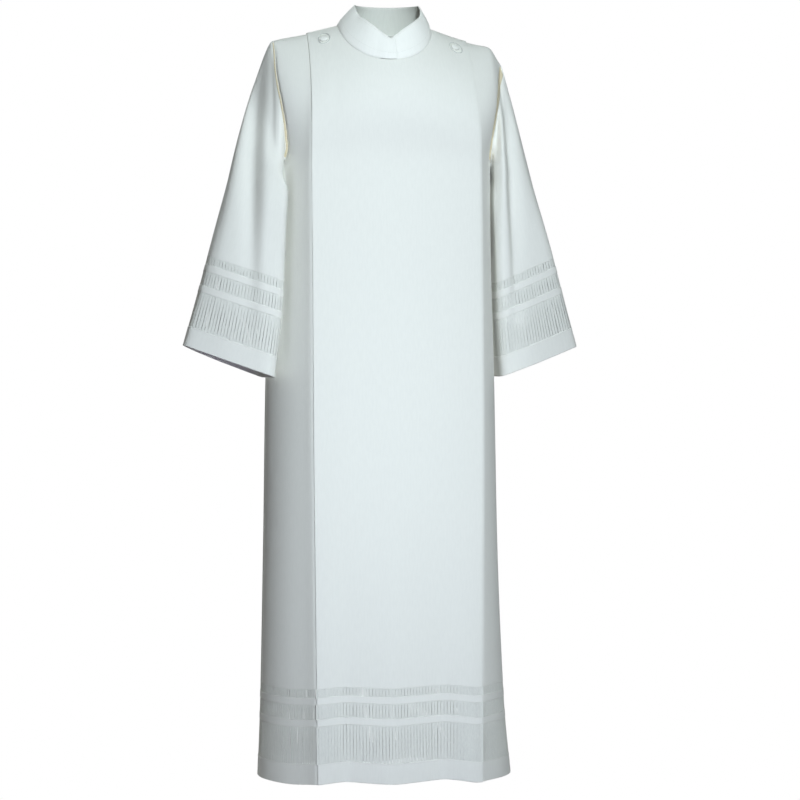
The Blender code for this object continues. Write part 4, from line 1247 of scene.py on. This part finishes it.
for side in sideSign:
    keep(makeShadeTape(side), seamShadeTape)
print("tapes made")


def addStitches(name, rows, thickness, ring=False):
    lines, out = [], []
    for points, normals in rows:
        if ring:
            points, normals = np.concatenate([points, points[:1]]), np.concatenate([normals, normals[:1]])
        lines.append(points + normals * (thickness / 2 + stitching["above"]))
        out.append(normals)
    guide = guideLines(name, lines, out)
    keep(grown(guide, stitchTree, sewingThread, stitching["stitch"]), None)


# A row along the upper edge of each hem and cuff, but not where the centre panel turns under, and one inside
# each edge of the collar.
folded = columns["fold"] + columns["under"] - 1
for (part, end), (points, normals, ring) in grids.items():
    line = slice(folded, -folded) if part == "front_panel" else slice(None)
    addStitches(part + "_stitches" + end, [(points[hemRow][line], normals[hemRow][line])],
                garment["hemThickness"], ring)
addStitches("collar_stitches", [(collarPoints[row], collarNormals[row]) for row in collar["stitchRows"]],
            collar["thickness"])
print("stitches made")


studio = {
    "floorZ": -1.75,
    "floorRadius": 1.45,
    "floorSides": 96,
    "fill": (1.0, 0.97, 0.90, 1.0),
    "fillStrength": 0.09,
    "lights": {  # place, aim, size, power in watts, tint, spread in degrees
        # a tall strip with a grid, so that its light falls off towards the sleeves
        "keyLight": ((0.26, -4.4, 1.32), (-0.03, 0.0, 0.07), (0.7, 3.5), 13.0, (0.82, 0.94, 0.985), 25.6),
        "lowLight": ((-0.2, -3.6, -1.70), (0.0, 0.0, -1.25), (1.1, 1.1), 10.0, (0.45, 0.30, 1.0), 180.0),
        "backLight": ((-0.6, 5.2, 1.8), (0.0, 0.0, -0.7), (2.6, 2.6), 230.0, (0.9, 0.97, 1.0), 180.0),
    },
}


def makeFloor():
    rim = [(studio["floorRadius"] * math.cos(turn), studio["floorRadius"] * math.sin(turn), studio["floorZ"])
           for turn in np.linspace(0, 2 * math.pi, studio["floorSides"], endpoint=False)]
    mesh = newMesh("studio_floor", rim, [], [range(len(rim))])
    paint, tree, shader = newMaterial("paleFloorPaint", {"Roughness": 0.9})  # matt, faintly uneven
    place = addNode(tree, "ShaderNodeTexCoord")
    grain = addNode(tree, "ShaderNodeTexNoise", {"Scale": 9.0, "Detail": 3.0},
                    {"Vector": place.outputs["Object"]})
    mixed = addNode(tree, "ShaderNodeMix", {6: colour("#E9E9E8"), 7: colour("#F1F1F0")},
                    {0: grain.outputs[0]}, data_type="RGBA")
    tree.links.new(mixed.outputs[2], shader.inputs["Base Color"])
    mesh.materials.append(paint)
    newObject("studio_floor", mesh)


def makeLight(name, place, aim, size, power, tint, spread):
    data = bpy.data.lights.new(name, "AREA")
    data.shape = "RECTANGLE"
    data.size, data.size_y = size
    data.energy = power
    data.color = tint
    data.spread = math.radians(spread)
    light = newObject(name, data)
    way = np.array(aim) - np.array(place)
    light.location = place
    light.rotation_euler = (math.acos(-way[2] / np.linalg.norm(way)), 0.0,
                            math.atan2(way[0], -way[1]) + math.pi)


def makeWorld():
    # white paper behind the garment, and a warm fill that only lights it
    world = bpy.data.worlds.new("studioWorld")
    bpy.context.scene.world = world
    world.use_nodes = True
    tree = world.node_tree
    tree.nodes.clear()
    seen = addNode(tree, "ShaderNodeLightPath")
    paper = addNode(tree, "ShaderNodeBackground", {"Color": (1.0, 1.0, 1.0, 1.0), "Strength": 1.0})
    glow = addNode(tree, "ShaderNodeBackground", {"Color": studio["fill"],
                                                  "Strength": studio["fillStrength"]})
    both = addNode(tree, "ShaderNodeMixShader", links={0: seen.outputs["Is Camera Ray"], 1: glow.outputs[0],
                                                       2: paper.outputs[0]})
    addNode(tree, "ShaderNodeOutputWorld", links={"Surface": both.outputs[0]})
    bpy.context.scene.view_settings.view_transform = "Standard"
    bpy.context.scene.view_settings.look = "None"


view = {  # the camera stands about level with the garment's middle, a little to the wearer's right of it
    "lens": 150,
    "distance": 6.5,
    "turn": math.radians(-9),
    "z": -0.622,
    "aimDrop": 0.1053,
    "aimAside": 0.0322,
}


def makeCamera():
    turn = view["turn"]
    data = bpy.data.cameras.new("camera")
    data.lens = view["lens"]
    data.sensor_width = 36
    data.clip_start = 0.1
    data.clip_end = 60
    camera = newObject("camera", data)
    place = np.array([view["distance"] * math.sin(turn), -view["distance"] * math.cos(turn), view["z"]])
    aim = view["aimAside"] * np.array([math.cos(turn), math.sin(turn), 0.0])
    way = aim + [0.0, 0.0, view["z"] - view["aimDrop"]] - place
    camera.location = place
    camera.rotation_euler = (math.pi / 2 + math.asin(way[2] / np.linalg.norm(way)), 0.0,
                             math.atan2(-way[0], way[1]))
    bpy.context.scene.camera = camera


makeFloor()
for name, light in studio["lights"].items():
    makeLight(name, *light)
makeWorld()
makeCamera()
print("studio made")
